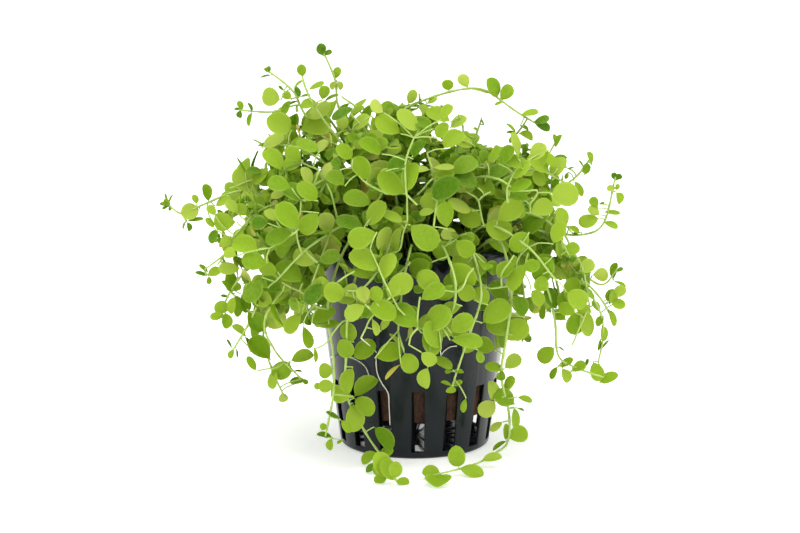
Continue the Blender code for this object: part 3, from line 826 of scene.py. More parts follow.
def side_line(here, heading, roll, length, chance):
    """The line of a side branch or twig that leaves a stem at a node, then droops or lifts a little."""
    side = heading.cross(open_air(here)).normalized()
    turn = math.radians(roll)
    out = side * math.cos(turn) + heading.cross(side) * math.sin(turn)
    way = (out + heading * chance.uniform(0.5, 1.1) + open_air(here) * 0.35).normalized()
    bend = (open_air(here) * chance.uniform(0, 0.4) - Vector((0, 0, chance.uniform(0, DROOP)))) * length
    count = max(4, round(length / STEM_STEP))
    return [here + way * length * k / count + bend * (k / count) ** 2 for k in range(count + 1)]


def grow_side(growth, owner, here, heading, roll, order, small, chance):
    """Grows a side branch or twig where one has room, and everything on it."""
    for _ in range(TRIES_FOR_A_SIDE):
        length = chance.uniform(*SIDE_LENGTHS[order - 1]) * (0.5 + 0.5 * small)
        line = side_line(here, heading, roll + chance.choice((0, 180)) + chance.uniform(-35, 35), length, chance)
        trial = Growth()
        add_tube(trial, line, [THICKNESSES[order]] * len(line), 6)
        if in_thicket(line[-1]) and not hides_shown(line) and is_clear(trial.points, [f for f in trial.faces if min(f) > 12], owner):
            note_stem(owner, trial.points, trial.faces)
            grow_stem(growth, owner, line, order, small, chance)
            return


def grow_stem(growth, owner, line, order, small, chance, leafy_share=1.0):
    """Grows a stem along its line, then from its foot to its tip the pairs of leaves and side stems at its nodes. Past
    leafy_share of its length it bears only the leaves that the photograph shows."""
    steps = len(line) - 1
    length = sum((b - a).length for a, b in zip(line, line[1:]))
    nodes, reached = [], BARE_LENGTHS[order] * chance.uniform(0.7, 1.2)
    while reached < 0.95 * length:
        nodes.append(max(1, min(steps - 1, round(reached / length * steps))))
        reached += NODE_SPACINGS[order] * chance.uniform(0.75, 1.25) * (1 - 0.35 * reached / length)
    thick, thin = THICKNESSES[order], max(TIP_RADIUS * 0.8, THICKNESSES[order] * 0.6)
    swell = [1 + 0.3 * max((math.exp(-((k - n) * 1.1) ** 2) for n in nodes), default=0) for k in range(steps + 1)]
    radii = [(thick + (thin - thick) * k / steps) * swell[k] for k in range(steps + 1)]
    add_tube(growth, line, radii, STEM_SIDES if order == 0 else 6, age=1.0)
    quarter = chance.choice((45, -45))
    for at in nodes:
        share = at / steps
        here, heading = line[at], (line[at + 1] - line[at - 1]).normalized()
        nodes_grown.append((owner, here))
        if share > leafy_share:
            continue
        shrink = small * (TIP_LEAF + (1 - TIP_LEAF) * min(1.0, (1 - share) / 0.4))
        size = LEAF_LENGTH * LEAF_SHARES[order] * shrink
        quarter = -quarter
        roll = quarter + chance.uniform(-25, 25)
        grow_pair(growth, owner, here, heading, roll, size, 0.5 + 0.5 * shrink, chance)
        if chance.random() < BRANCH_CHANCES[order] and share < 0.8:
            grow_side(growth, owner, here, heading, roll, order + 1, shrink, chance)
        if chance.random() < TWIG_CHANCES[order]:
            grow_side(growth, owner, here, heading, roll + 180, 2, shrink, chance)
    if leafy_share >= 1:
        grow_bud(growth, owner, line[-1], (line[-1] - line[-2]).normalized(),
                 LEAF_LENGTH * LEAF_SHARES[order] * TIP_LEAF * small, chance)


# The leaves that the photograph shows against the white or the pot, shoot by shoot. Each is the column and row of
# its foot, the column and row of its end, its width, and its shade from 0, dark green, to 1, yellowed. The shade
# holds the leaf's own colour and painted light and shade too: leaves that sit in shade are given darker shades.
SHOWN_LEAVES = {
    "shoot_crown_tall": [
        (323, 56, 320, 46, 9, 0), (324, 55, 330, 51, 5, 0), (335, 79, 338, 69, 8, 0.45), (337, 81, 332, 88, 6, 0.8),
        (337, 81, 342, 88, 6, 0.8),
    ],
    "shoot_crown_bud": [
        (270, 73, 265, 69, 4, 0.3), (270, 72, 268, 67, 4, 0.3), (271, 75, 262, 77, 2, 0.2), (292, 99, 284, 93, 8, 0.7),
        (284, 91, 279, 87, 3, 0.2), (297, 100, 297, 88, 6, 0), (299, 101, 287, 104, 3, 0.2),
        (300, 97, 309, 94, 3, 0.3), (281, 100, 265, 95, 17, 0.75),
    ],
    "shoot_crown_spray": [
        (241, 110, 239, 117, 6, 0), (242, 111, 240, 102, 6, 0.4), (241, 110, 235, 109, 3, 0.2),
        (252, 112, 249, 104, 3, 0.1), (252, 112, 249, 124, 5, 0.4), (279, 110, 274, 115, 5, 0.1),
        (288, 107, 279, 110, 5, 0.7),
    ],
    "shoot_crown_upright": [
        (303, 77, 301, 66, 9, 0.5), (304, 80, 294, 86, 3, 0.6), (308, 90, 321, 82, 6, 0.5),
        (322, 100, 325, 88, 10, 0.5), (324, 102, 336, 94, 4, 0.1), (318, 103, 303, 104, 10, 0.6),
    ],
    "shoot_crown_arch": [
        (408, 104, 413, 92, 9, 0.75), (420, 104, 420, 99, 3, 0.3), (427, 104, 435, 98, 6, 0.7),
        (449, 91, 447, 81, 10, 0.65), (468, 88, 462, 76, 11, 0.85), (470, 89, 485, 91, 4, 0.9),
        (498, 98, 489, 82, 13, 0.4), (500, 101, 510, 88, 13, 0.55), (503, 102, 496, 104, 3, 0.6),
        (520, 115, 536, 112, 7, 0.6), (533, 122, 547, 119, 8, 0.1), (534, 123, 547, 130, 9, 0),
        (518, 133, 531, 138, 8, 0.6), (516, 134, 509, 124, 3, 0.5), (516, 134, 508, 132, 3, 0.3),
        (520, 126, 528, 129, 4, 0.2), (517, 134, 510, 141, 5, 0.5),
    ],
    "shoot_crown_right": [(484, 125, 482, 120, 2, 0.2), (478, 131, 474, 128, 3, 0.6), (470, 137, 464, 133, 7, 0.7)],
    "shoot_crown_outer": [
        (556, 147, 554, 136, 5, 0.4), (556, 147, 559, 136, 5, 0.4), (553, 158, 565, 157, 5, 0.1),
    ],
    "shoot_left_far": [
        (170, 206, 165, 200, 6, 0.4), (169, 205, 161, 204, 4, 0.2), (169, 206, 163, 208, 3, 0.2),
        (168, 203, 165, 195, 2, 0.3), (169, 203, 171, 196, 2, 0.3), (169, 206, 170, 210, 3, 0.3),
        (200, 209, 184, 213, 16, 0.8), (197, 204, 194, 196, 6, 0.7), (187, 221, 201, 219, 4, 0.3),
        (187, 222, 190, 230, 5, 0.4), (186, 221, 183, 228, 2, 0.3), (209, 202, 204, 187, 9, 0.5),
        (215, 206, 229, 200, 8, 0.7), (218, 229, 211, 241, 9, 0.2), (233, 193, 222, 194, 4, 0.5),
    ],
    "shoot_left_high": [(250, 192, 238, 172, 20, 0.75), (246, 173, 238, 160, 2, 0.3)],
    "shoot_left_middle": [
        (208, 272, 201, 265, 4, 0.3), (207, 276, 197, 272, 4, 0.2), (209, 276, 209, 283, 5, 0.5),
        (207, 275, 219, 271, 9, 0.65),
    ],
    "shoot_left_droop": [
        (230, 310, 217, 305, 13, 0.6), (224, 315, 212, 317, 8, 0.65), (225, 312, 227, 326, 10, 0.55),
        (235, 294, 239, 314, 9, 0.55), (232, 292, 223, 283, 4, 0.5), (231, 290, 239, 285, 8, 0.6),
        (229, 297, 222, 295, 3, 0),
    ],
    "shoot_left_hang": [
        (246, 336, 235, 326, 7, 0.75), (245, 336, 250, 350, 3, 0.3), (234, 349, 230, 357, 6, 0.5),
        (232, 348, 227, 341, 2, 0.2), (236, 348, 238, 356, 2, 0.3), (271, 360, 253, 341, 19, 0.4),
    ],
    "shoot_left_low": [(290, 361, 309, 354, 11, 0.6)],
    "shoot_left_tip": [
        (291, 362, 276, 375, 18, 0.5), (275, 367, 273, 386, 10, 0.7), (306, 381, 292, 380, 7, 0.45),
        (302, 379, 307, 383, 5, 0.3), (282, 392, 284, 401, 8, 0.85), (294, 371, 301, 371, 2, 0.3),
    ],
    "shoot_right_high": [
        (592, 165, 588, 154, 6, 0.5), (585, 175, 587, 165, 8, 0.4), (583, 167, 580, 161, 2, 0.3),
        (574, 181, 581, 194, 7, 0.5), (567, 168, 561, 164, 7, 0.5), (568, 168, 573, 168, 2, 0.3),
        (568, 172, 566, 178, 4, 0.5),
    ],
    "shoot_right_far": [
        (617, 180, 613, 174, 6, 0), (617, 180, 620, 175, 6, 0.1), (616, 188, 608, 188, 6, 0.8),
        (617, 190, 618, 185, 4, 0.6), (616, 192, 621, 202, 8, 0.6), (604, 212, 618, 212, 5, 0.5),
        (603, 222, 616, 226, 7, 0.6), (600, 218, 582, 222, 13, 0.7), (598, 208, 592, 199, 9, 0.5),
        (600, 215, 591, 208, 9, 0.8), (599, 204, 604, 203, 2, 0.3), (568, 226, 577, 232, 6, 0.6),
        (581, 232, 573, 234, 3, 0),
    ],
    "shoot_right_side": [
        (613, 280, 616, 265, 7, 0.3), (617, 272, 622, 268, 4, 0.1), (614, 281, 624, 286, 3, 0.4),
        (592, 275, 606, 274, 13, 0.9),
    ],
    "shoot_right_tip": [
        (610, 306, 610, 292, 4, 0.2), (613, 304, 613, 294, 8, 0.6), (613, 296, 624, 289, 11, 0.75), (607, 302, 613, 291, 11, 0.65),
        (611, 301, 623, 306, 10, 0.6), (609, 309, 613, 324, 7, 0.5), (600, 313, 595, 302, 7, 0.5),
    ],
    "shoot_right_hang": [
        (583, 310, 572, 331, 18, 0.45), (583, 310, 590, 332, 14, 0.7), (604, 316, 597, 324, 7, 0.5),
        (602, 325, 605, 339, 8, 0.5), (600, 339, 600, 349, 4, 0.3), (601, 350, 607, 341, 2, 0.3),
        (593, 361, 599, 378, 14, 0.6), (600, 383, 614, 374, 9, 0.6),
    ],
    "shoot_right_drop": [
        (555, 347, 541, 359, 15, 0.6), (558, 347, 564, 350, 2, 0.4), (558, 366, 551, 377, 6, 0.5),
        (558, 367, 571, 360, 7, 0.6), (562, 368, 568, 380, 10, 0.7), (571, 372, 583, 364, 9, 0.6),
        (586, 366, 588, 360, 3, 0.2),
    ],
    "shoot_right_bend": [(573, 309, 576, 281, 16, 0.5)],
    "shoot_trailing_left": [
        (354, 342, 345, 326, 15, 0.5), (352, 358, 341, 343, 14, 0.5), (353, 358, 372, 345, 17, 0.45),
        (353, 367, 346, 389, 14, 0.6), (354, 397, 373, 380, 15, 0.6), (354, 398, 371, 411, 16, 0.55),
        (353, 403, 355, 428, 18, 0.7), (374, 427, 391, 445, 14, 0.3), (378, 452, 363, 460, 10, 0.5),
        (379, 452, 391, 451, 9, 0.5), (379, 466, 367, 469, 7, 0.2), (391, 477, 377, 457, 17, 0.66),
        (396, 481, 383, 464, 15, 0.6), (394, 479, 397, 464, 12, 0.62), (386, 470, 374, 470, 12, 0.5),
        (388, 476, 376, 480, 10, 0.6), (395, 481, 408, 483, 10, 0.5),
    ],
    "shoot_trailing_short": [
        (334, 371, 321, 371, 14, 0.65), (335, 385, 321, 386, 13, 0.65), (322, 384, 315, 387, 6, 0.6),
        (353, 396, 333, 393, 17, 0.65), (340, 419, 328, 413, 4, 0.2), (328, 426, 321, 427, 7, 0.5),
        (333, 438, 319, 434, 5, 0.2), (332, 438, 329, 448, 7, 0.5), (343, 440, 338, 443, 3, 0.4),
        (341, 420, 350, 430, 8, 0.6),
    ],
    "shoot_trailing_right": [
        (504, 369, 518, 358, 14, 0.75), (504, 369, 488, 366, 9, 0.6), (503, 370, 500, 379, 9, 0.3),
        (505, 393, 511, 378, 9, 0.6), (515, 404, 499, 394, 15, 0.35), (494, 401, 492, 385, 10, 0.75),
        (496, 401, 482, 413, 16, 0.85), (517, 397, 530, 401, 6, 0.6), (514, 407, 514, 426, 8, 0.5),
        (517, 408, 523, 410, 2, 0.3), (507, 438, 524, 431, 17, 0.6), (506, 441, 506, 426, 6, 0.5),
        (503, 422, 492, 429, 7, 0.85), (507, 441, 494, 448, 4, 0.4), (481, 461, 499, 457, 8, 0.75),
        (459, 468, 455, 450, 15, 0.55), (458, 468, 480, 474, 13, 0.6), (441, 473, 425, 470, 11, 0.6),
        (441, 474, 436, 488, 10, 0.5), (440, 476, 428, 478, 9, 0.5),
    ],
    "shoot_front_drop": [
        (452, 386, 443, 382, 3, 0.6), (453, 386, 461, 382, 5, 0.6), (452, 385, 451, 393, 8, 0.5),
        (453, 370, 439, 357, 10, 0.7), (453, 371, 462, 372, 4, 0.5), (452, 371, 446, 372, 4, 0.5),
        (478, 350, 481, 361, 8, 0.4),
    ],
    "shoot_front_middle": [
        (375, 358, 398, 350, 18, 0.6), (404, 352, 413, 370, 17, 0.6), (401, 364, 386, 375, 4, 0.98),
        (404, 350, 393, 335, 4, 0.9),
    ],
    "shoot_front_loop": [(428, 367, 424, 385, 12, 0.7)],
}
# The leaves that show at the front of the thick body of the plant, in the same terms, their shades also holding
# painted light and shade
FRONT_LEAVES = [
    (292, 130, 270, 119, 20, 0.7), (306, 118, 327, 106, 14, 0.8), (300, 129, 330, 124, 22, 0.65),
    (354, 108, 334, 115, 10, 0), (343, 131, 342, 118, 12, 0.75), (262, 148, 280, 137, 12, 0.8),
    (282, 171, 268, 152, 16, 0.55), (320, 151, 300, 142, 12, 0.4), (262, 172, 249, 170, 7, 0.2),
    (292, 188, 272, 181, 15, 0.35), (306, 201, 287, 188, 16, 0.3), (318, 201, 302, 185, 16, 0.45),
    (270, 199, 283, 190, 9, 0.8), (310, 187, 305, 170, 10, 0.88), (322, 181, 330, 165, 9, 0.9),
    (353, 159, 340, 147, 13, 0.5), (340, 170, 334, 160, 9, 0.15), (345, 186, 330, 174, 14, 0.35),
    (352, 130, 366, 117, 12, 0.72), (384, 113, 372, 104, 11, 0.88), (401, 134, 380, 119, 18, 0.6),
    (419, 131, 402, 114, 15, 0.72), (433, 129, 418, 121, 11, 0.25), (451, 122, 431, 111, 14, 0.6),
    (450, 128, 463, 118, 10, 0.75), (443, 149, 460, 134, 16, 0.6), (475, 147, 455, 138, 12, 0.68),
    (413, 159, 421, 142, 11, 0.2), (386, 171, 404, 160, 14, 0.15), (382, 154, 364, 142, 13, 0.4),
    (367, 181, 356, 160, 17, 0.45), (372, 205, 348, 194, 17, 0.4), (405, 193, 380, 177, 20, 0.5),
    (407, 192, 412, 167, 15, 0.55), (432, 168, 450, 166, 6, 0.8), (430, 175, 451, 173, 10, 0.55),
    (431, 170, 415, 168, 7, 0.8), (432, 198, 454, 182, 20, 0.12), (451, 174, 473, 160, 17, 0.33),
    (478, 188, 458, 175, 17, 0.15), (485, 181, 505, 168, 14, 0.2), (499, 164, 510, 149, 12, 0.3),
    (487, 163, 500, 150, 9, 0.45), (523, 169, 505, 158, 13, 0.5), (511, 179, 526, 164, 12, 0.62),
    (518, 159, 516, 136, 9, 0.75), (530, 161, 543, 147, 14, 0.78), (549, 171, 530, 161, 14, 0.6),
    (552, 180, 563, 161, 13, 0.75), (550, 193, 575, 194, 23, 0.72), (508, 191, 527, 182, 10, 0.4),
    (531, 198, 509, 196, 10, 0.3), (237, 222, 217, 222, 18, 0.65), (259, 249, 236, 244, 17, 0.55),
    (241, 268, 222, 269, 12, 0.75), (268, 223, 254, 222, 13, 0.1), (277, 222, 268, 211, 10, 0.78),
    (299, 229, 278, 206, 20, 0.45), (296, 229, 284, 216, 12, 0.5), (319, 213, 303, 229, 18, 0.45),
    (292, 232, 269, 240, 16, 0.3), (317, 263, 297, 254, 17, 0.72), (267, 263, 246, 260, 17, 0.4),
    (303, 283, 282, 264, 20, 0.4), (262, 277, 248, 298, 18, 0.28), (283, 291, 262, 284, 16, 0.22),
    (322, 283, 308, 299, 16, 0.05), (322, 241, 305, 247, 11, 0.2), (318, 262, 337, 256, 14, 0.25),
    (364, 228, 339, 222, 13, 0.2), (377, 232, 352, 240, 21, 0.5), (378, 270, 354, 255, 20, 0.55),
    (384, 281, 388, 256, 16, 0.66), (367, 226, 382, 206, 16, 0.55), (404, 222, 386, 213, 9, 0.68),
    (402, 226, 394, 250, 9, 0.75), (410, 225, 439, 248, 24, 0.4), (432, 262, 413, 272, 19, 0.45),
    (440, 290, 422, 275, 19, 0.6), (386, 289, 410, 281, 20, 0.66), (447, 229, 447, 206, 16, 0.45),
    (472, 211, 452, 202, 11, 0.78), (482, 226, 462, 213, 18, 0.6), (484, 224, 507, 234, 20, 0.6),
    (497, 221, 518, 205, 20, 0.66), (529, 232, 513, 247, 17, 0.45), (549, 214, 526, 228, 17, 0.33),
    (530, 213, 549, 204, 17, 0.7), (451, 240, 437, 255, 17, 0.42), (455, 240, 471, 252, 17, 0.5),
    (487, 242, 505, 250, 12, 0.5), (552, 257, 537, 277, 20, 0.33), (452, 262, 470, 284, 22, 0.52),
    (516, 262, 500, 274, 14, 0.5), (528, 262, 512, 290, 14, 0.6), (566, 228, 560, 211, 12, 0.66),
    (553, 244, 561, 226, 14, 0.66), (561, 255, 577, 248, 12, 0.55), (579, 271, 592, 263, 13, 0.77),
    (553, 217, 551, 206, 4, 0.5), (247, 309, 262, 327, 18, 0.33), (312, 323, 331, 310, 15, 0.5),
    (314, 326, 336, 324, 8, 0.72), (302, 314, 287, 329, 14, 0.62), (303, 325, 309, 345, 10, 0.5),
    (355, 299, 349, 287, 13, 0.77), (365, 304, 362, 289, 13, 0.8), (376, 303, 377, 289, 13, 0.55),
    (388, 298, 396, 286, 14, 0.7), (366, 305, 348, 316, 15, 0.72), (368, 306, 393, 313, 20, 0.5),
    (418, 327, 395, 308, 22, 0.38), (346, 296, 327, 290, 19, 0.65), (372, 318, 376, 333, 7, 0.78),
    (381, 331, 387, 321, 7, 0.78), (421, 352, 433, 363, 13, 0.7), (426, 329, 446, 311, 20, 0.45),
    (441, 349, 428, 325, 17, 0.5), (451, 333, 468, 317, 18, 0.5), (450, 340, 479, 344, 14, 0.5),
    (507, 341, 522, 324, 21, 0.62), (525, 317, 518, 301, 13, 0.25), (482, 323, 505, 305, 22, 0.45),
    (512, 335, 492, 320, 20, 0.5), (531, 290, 541, 303, 12, 0.6), (544, 303, 542, 317, 6, 0.5),
    (566, 292, 584, 303, 18, 0.6), (557, 310, 549, 292, 13, 0.25), (560, 312, 566, 294, 10, 0.5),
    (420, 300, 441, 288, 16, 0.4), (462, 306, 445, 312, 12, 0.7), (256, 371, 248, 359, 7, 0.6),
    (314, 347, 316, 360, 4, 0.6), (238, 213, 228, 203, 10, 0.75), (247, 216, 237, 206, 12, 0.55),
    (243, 228, 236, 239, 10, 0.6), (231, 236, 223, 244, 10, 0.7), (216, 216, 209, 207, 8, 0.7),
    (214, 228, 208, 219, 6, 0.6), (237, 256, 226, 251, 11, 0.7), (278, 272, 262, 266, 13, 0.5),
    (268, 288, 256, 278, 12, 0.4), (235, 296, 230, 311, 9, 0.6), (241, 294, 247, 310, 10, 0.4),
    (441, 120, 450, 107, 10, 0.6), (436, 138, 446, 126, 12, 0.5), (576, 313, 562, 307, 12, 0.5),
    (592, 313, 579, 308, 12, 0.6), (566, 320, 555, 312, 10, 0.5), (282, 171, 296, 158, 14, 0.45),
    (302, 160, 288, 150, 13, 0.6), (259, 186, 271, 176, 12, 0.6), (268, 168, 256, 182, 12, 0.5),
    (541, 262, 528, 268, 12, 0.4), (543, 274, 540, 290, 13, 0.5), (520, 272, 512, 287, 11, 0.5),
    (511, 306, 497, 296, 16, 0.6), (508, 300, 494, 284, 16, 0.35), (488, 305, 478, 290, 15, 0.5),
    (474, 300, 462, 288, 15, 0.6), (372, 116, 376, 128, 10, 0.5), (291, 100, 283, 112, 8, 0.4),
    (549, 150, 541, 162, 10, 0.7), (558, 168, 548, 156, 10, 0.6), (466, 398, 462, 410, 6, 0.5),
]
# The bare twigs that show there, each through its spots in the picture, from its foot
FRONT_TWIGS = [
    [(399, 250), (403, 233), (407, 222), (407, 208), (406, 194), (396, 193), (387, 194)],
    [(406, 194), (411, 199), (417, 205)],
    [(405, 171), (406, 160), (409, 150), (414, 138)],
    [(484, 226), (481, 215), (478, 200), (470, 194), (465, 191)],
    [(478, 201), (484, 195), (491, 192)],
    [(515, 270), (518, 259), (524, 251), (531, 246), (538, 243)],
    [(524, 270), (526, 262), (528, 253)],
    [(300, 248), (297, 238), (297, 229), (300, 215), (301, 200)],
    [(297, 230), (290, 229), (283, 229)],
    [(296, 232), (284, 239), (270, 248)],
    [(388, 289), (382, 276), (376, 262), (370, 249)],
    [(410, 263), (401, 271), (393, 279)],
    [(338, 282), (346, 276), (355, 271)],
    [(316, 306), (303, 293), (292, 288), (282, 282)],
    [(538, 191), (524, 191), (509, 191)],
    [(508, 204), (507, 190), (512, 177), (519, 166), (524, 162)],
    [(432, 168), (429, 160), (427, 153)],
    [(431, 180), (424, 188), (417, 195)],
    [(368, 184), (360, 177), (352, 168)],
    [(463, 287), (468, 275), (474, 268)],
    [(502, 287), (488, 288), (478, 280), (474, 272)],
    [(502, 273), (509, 263), (514, 255)],
    [(417, 329), (418, 312), (420, 297)],
    [(417, 329), (411, 336), (409, 345)],
    [(371, 318), (366, 328), (361, 338)],
    [(342, 322), (333, 333), (328, 341), (322, 346), (314, 349)],
    [(275, 368), (266, 369), (257, 371)],
    [(318, 170), (309, 166), (303, 163)],
    [(578, 331), (575, 339), (572, 345)],
    [(318, 173), (315, 182), (312, 188)],
    [(320, 136), (309, 139), (303, 131)],
    [(332, 196), (329, 189), (327, 184)],
]
# Where the white or the dark shows through the thick body: middle, size across and down, and the depth that is bare
SEE_THROUGH = 1.0
TO_THE_POT = -20 * MM
TO_THE_MIDDLE = 6 * MM
OPEN_GAPS = [
    (259, 164, 7, 7, SEE_THROUGH), (266, 185, 8, 4, SEE_THROUGH), (289, 153, 6, 3, SEE_THROUGH),
    (333, 122, 3, 8, SEE_THROUGH), (345, 166, 4, 7, SEE_THROUGH), (371, 124, 5, 9, SEE_THROUGH),
    (316, 157, 5, 4, SEE_THROUGH), (415, 113, 7, 4, SEE_THROUGH), (435, 133, 4, 4, SEE_THROUGH),
    (230, 231, 5, 5, SEE_THROUGH), (230, 257, 6, 6, SEE_THROUGH), (240, 219, 6, 7, SEE_THROUGH),
    (257, 272, 7, 6, SEE_THROUGH), (275, 262, 4, 4, SEE_THROUGH), (547, 213, 4, 6, SEE_THROUGH),
    (530, 278, 8, 12, SEE_THROUGH), (547, 291, 6, 11, SEE_THROUGH), (564, 288, 5, 7, SEE_THROUGH), (343, 144, 4, 4, SEE_THROUGH),
    (513, 151, 4, 8, SEE_THROUGH), (554, 253, 4, 4, SEE_THROUGH),
    (319, 164, 6, 6, TO_THE_MIDDLE), (407, 244, 12, 18, TO_THE_MIDDLE), (436, 222, 12, 12, TO_THE_MIDDLE),
    (460, 225, 8, 10, TO_THE_MIDDLE), (493, 256, 8, 9, TO_THE_MIDDLE), (518, 223, 14, 8, TO_THE_MIDDLE),
    (347, 248, 7, 14, TO_THE_MIDDLE), (396, 201, 20, 8, TO_THE_MIDDLE), (418, 184, 10, 12, TO_THE_MIDDLE),
    (334, 274, 10, 9, TO_THE_POT), (360, 285, 20, 7, TO_THE_POT), (409, 270, 6, 7, TO_THE_POT),
    (442, 267, 10, 20, TO_THE_POT), (410, 300, 16, 9, TO_THE_POT), (420, 308, 4, 10, TO_THE_POT),
    (398, 328, 14, 20, TO_THE_POT), (385, 340, 24, 14, TO_THE_POT), (356, 323, 14, 8, TO_THE_POT),
    (338, 312, 8, 14, TO_THE_POT), (462, 306, 12, 8, TO_THE_POT), (473, 318, 5, 16, TO_THE_POT),
    (482, 332, 8, 6, TO_THE_POT), (449, 347, 10, 10, TO_THE_POT), (416, 342, 8, 8, TO_THE_POT),
]
PIXELS_A_METRE_BACK = 900
HEADING_WEIGHT = 0.4
TWIG_FORWARD = 1.5 * MM
TWIG_NODES = 5
SHOWN_STALK = 0.17 * MM
WIDEST = 0.88
NARROW = 0.75
TABLE_TOP_GAP = 0.6 * MM
FRONT_EDGE = -43.8 * MM
FRONT_SOFTNESS = 1.4 * MM
LONGEST_LEAF = 7.2 * MM
SHOWN_GROWTH = 1.08
NUDGES = (0, -1.2 * MM, 1.2 * MM, -2.4 * MM, 2.4 * MM, -3.6 * MM, 3.6 * MM, 5 * MM, 7 * MM)
STALK_STEPS = 6
STALK_BOW = 0.14


def eased(value, limit, softness):
    """The same value, or one that eases off within the softness below the limit."""
    return value if value > limit else limit - softness * (1 - math.exp((value - limit) / softness))


def lie_on_table(place):
    """The same place, or one just over the table and not far before the trailing stems where it would be past them."""
    place.z = eased(place.z, TABLE_TOP_GAP, TABLE_TOP_GAP - TABLE_GAP)
    place.y = eased(place.y, FRONT_EDGE, FRONT_SOFTNESS)
    return place


def seen_place(column, row, depth):
    """The place at that y, or else on the table, which the camera sees at a spot of the photograph."""
    place = seen_at(column, row, depth)
    return place if place.z > TABLE_TOP_GAP else seen_on_table(column, row, TABLE_TOP_GAP)


def shown_leaf_shape(leaf, depth, chance):
    """The points, faces and edge reading of a leaf that the photograph shows, with its foot at that y."""
    foot_column, foot_row, end_column, end_row, wide, _ = leaf
    foot = seen_place(foot_column, foot_row, depth)
    apparent = (Vector((end_column, end_row)) - Vector((foot_column, foot_row))).length
    deeper = chance.uniform(-0.4, 0.4) * apparent * (depth - CAMERA_PLACE[1]) / FOCAL_PIXELS
    along = seen_place(end_column, end_row, depth + deeper) - foot
    width = SHOWN_GROWTH * along.length * wide / apparent
    length = min(LONGEST_LEAF, SHOWN_GROWTH * along.length)
    facing = Vector((0, -1, 0.2)).normalized()
    if wide < NARROW * apparent:
        true_width = math.sqrt(width * WIDEST * length)
        turned_by = math.acos(min(1.0, width / true_width))
        side = along.cross(facing).normalized()
        facing = facing * math.cos(turned_by) + side * math.copysign(math.sin(turned_by), side.z)
        width = true_width
    else:
        facing += Vector(chance.uniform(-0.25, 0.25) for _ in range(3))
    rows, edges, tip = leaf_points(foot, along, facing, length, min(width, LONGEST_LEAF), chance)
    points, faces, reading = leaf_mesh(foot, rows, edges, tip)
    return [lie_on_table(p) for p in points], faces, reading


def best_carrier(spot, names, heading=Vector((0, 0))):
    """The shoot, and the place on it, that carries what is seen at a spot: near it, towards the viewer, and behind it
    as the twig heads."""
    return min(((name, *stand) for name in names for stand in carriers[name]),
               key=lambda c: (c[2] - spot).length + HEADING_WEIGHT * heading.dot(c[2] - spot)
               + PIXELS_A_METRE_BACK * c[1].y)[:2]


def grow_shown_leaf(leaf, names):
    """Grows one leaf as the photograph shows it, on a stalk from its stem where its foot is away from the stem, and
    returns the place along the stem where it sits."""
    chance = random.Random(str(leaf))
    spot = Vector(leaf[:2])
    owner, root = best_carrier(spot, names)
    for nudge in NUDGES:
        points, faces, reading = shown_leaf_shape(leaf, root.y + nudge, chance)
        outer = [f for f in faces if min(f) > SOLID_ROWS * 2 * LEAF_COLUMNS]
        tree = is_clear(points, outer, owner)
        if tree:
            break
    else:
        tree = BVHTree.FromPolygons(points, outer)
    foot = points[0]
    reach = (foot - root).length
    growth = growths[owner]
    if reach > STEM_RADIUS:
        bow = open_air(root) * STALK_BOW * reach
        stalk = [root.lerp(foot, k / STALK_STEPS) + bow * math.sin(math.pi * k / STALK_STEPS)
                 for k in range(STALK_STEPS + 1)]
        add_tube(growth, stalk, [SHOWN_STALK] * len(stalk), 6, age=1.0)
    middle = sum(points, Vector()) / len(points)
    leaves_in.setdefault(tuple(math.floor(n / CELL) for n in middle), []).append(tree)
    # The shade, which holds painted light and shade as well as the leaf's own colour, sets its tone and how young it
    # looks.
    shade = leaf[5]
    growth.add(points, faces, 1, reading, shade, min(1.0, 0.15 + 2 * shade))
    for place in points:
        patch = patch_of(place)
        covered.add(patch)
        nothing_before[patch] = max(place.y, nothing_before.get(patch, -1))
    return owner, root


def grow_shown_twig(spots):
    """Grows one bare twig that the photograph shows, from the stem that carries it through the given spots."""
    first, second = (Vector(spot) for spot in spots[:2])
    owner, root = best_carrier(first, carriers, (second - first).normalized())
    away = [seen_place(c, r, root.y - TWIG_FORWARD) for c, r in spots]
    line = smooth_line([root, *away], STEM_STEP)
    thin = THICKNESSES[1]
    add_tube(growths[owner], line, [thin * (1 - 0.3 * k / len(line)) for k in range(len(line))], 6, age=1.0)
    carriers[owner] += [(place, picture_place(place)) for place in line]
    bare = Growth()
    add_tube(bare, line, [thin] * len(line), 6)
    note_stem(owner, bare.points, bare.faces)
    nodes_grown.extend((owner, place) for place in line[2::TWIG_NODES])
    for place in line:
        nothing_before[patch_of(place)] = place.y


def fill_thicket(sizes, chance):
    """Grows twigs with leaves of these sizes towards the light wherever the thick body of the plant shows a gap."""
    columns, rows = (sorted(n[i] for n in THICKET) for i in (0, 1))
    gaps = [(c, r) for c in range(columns[0] // PATCH, columns[-1] // PATCH + 1)
            for r in range(rows[0] // PATCH, rows[-1] // PATCH + 1)
            if inside(Vector(((c + 0.5) * PATCH, (r + 0.5) * PATCH)), THICKET)]
    chance.shuffle(gaps)
    for c, r in gaps:
        if (c, r) in covered:
            continue
        spot = Vector(((c + 0.5) * PATCH, (r + 0.5) * PATCH))
        near = sorted(nodes_grown, key=lambda node: (picture_place(node[1]) - spot).length)[:NODES_TO_TRY]
        for owner, here in near:
            end = seen_at(spot.x, spot.y, here.y + chance.uniform(-3, 3) * MM)
            if grow_reaching_twig(growths[owner], owner, here, end, LEAF_LENGTH * chance.uniform(*sizes), chance):
                break
    print("gaps", len(gaps), "left", sum(g not in covered for g in gaps))


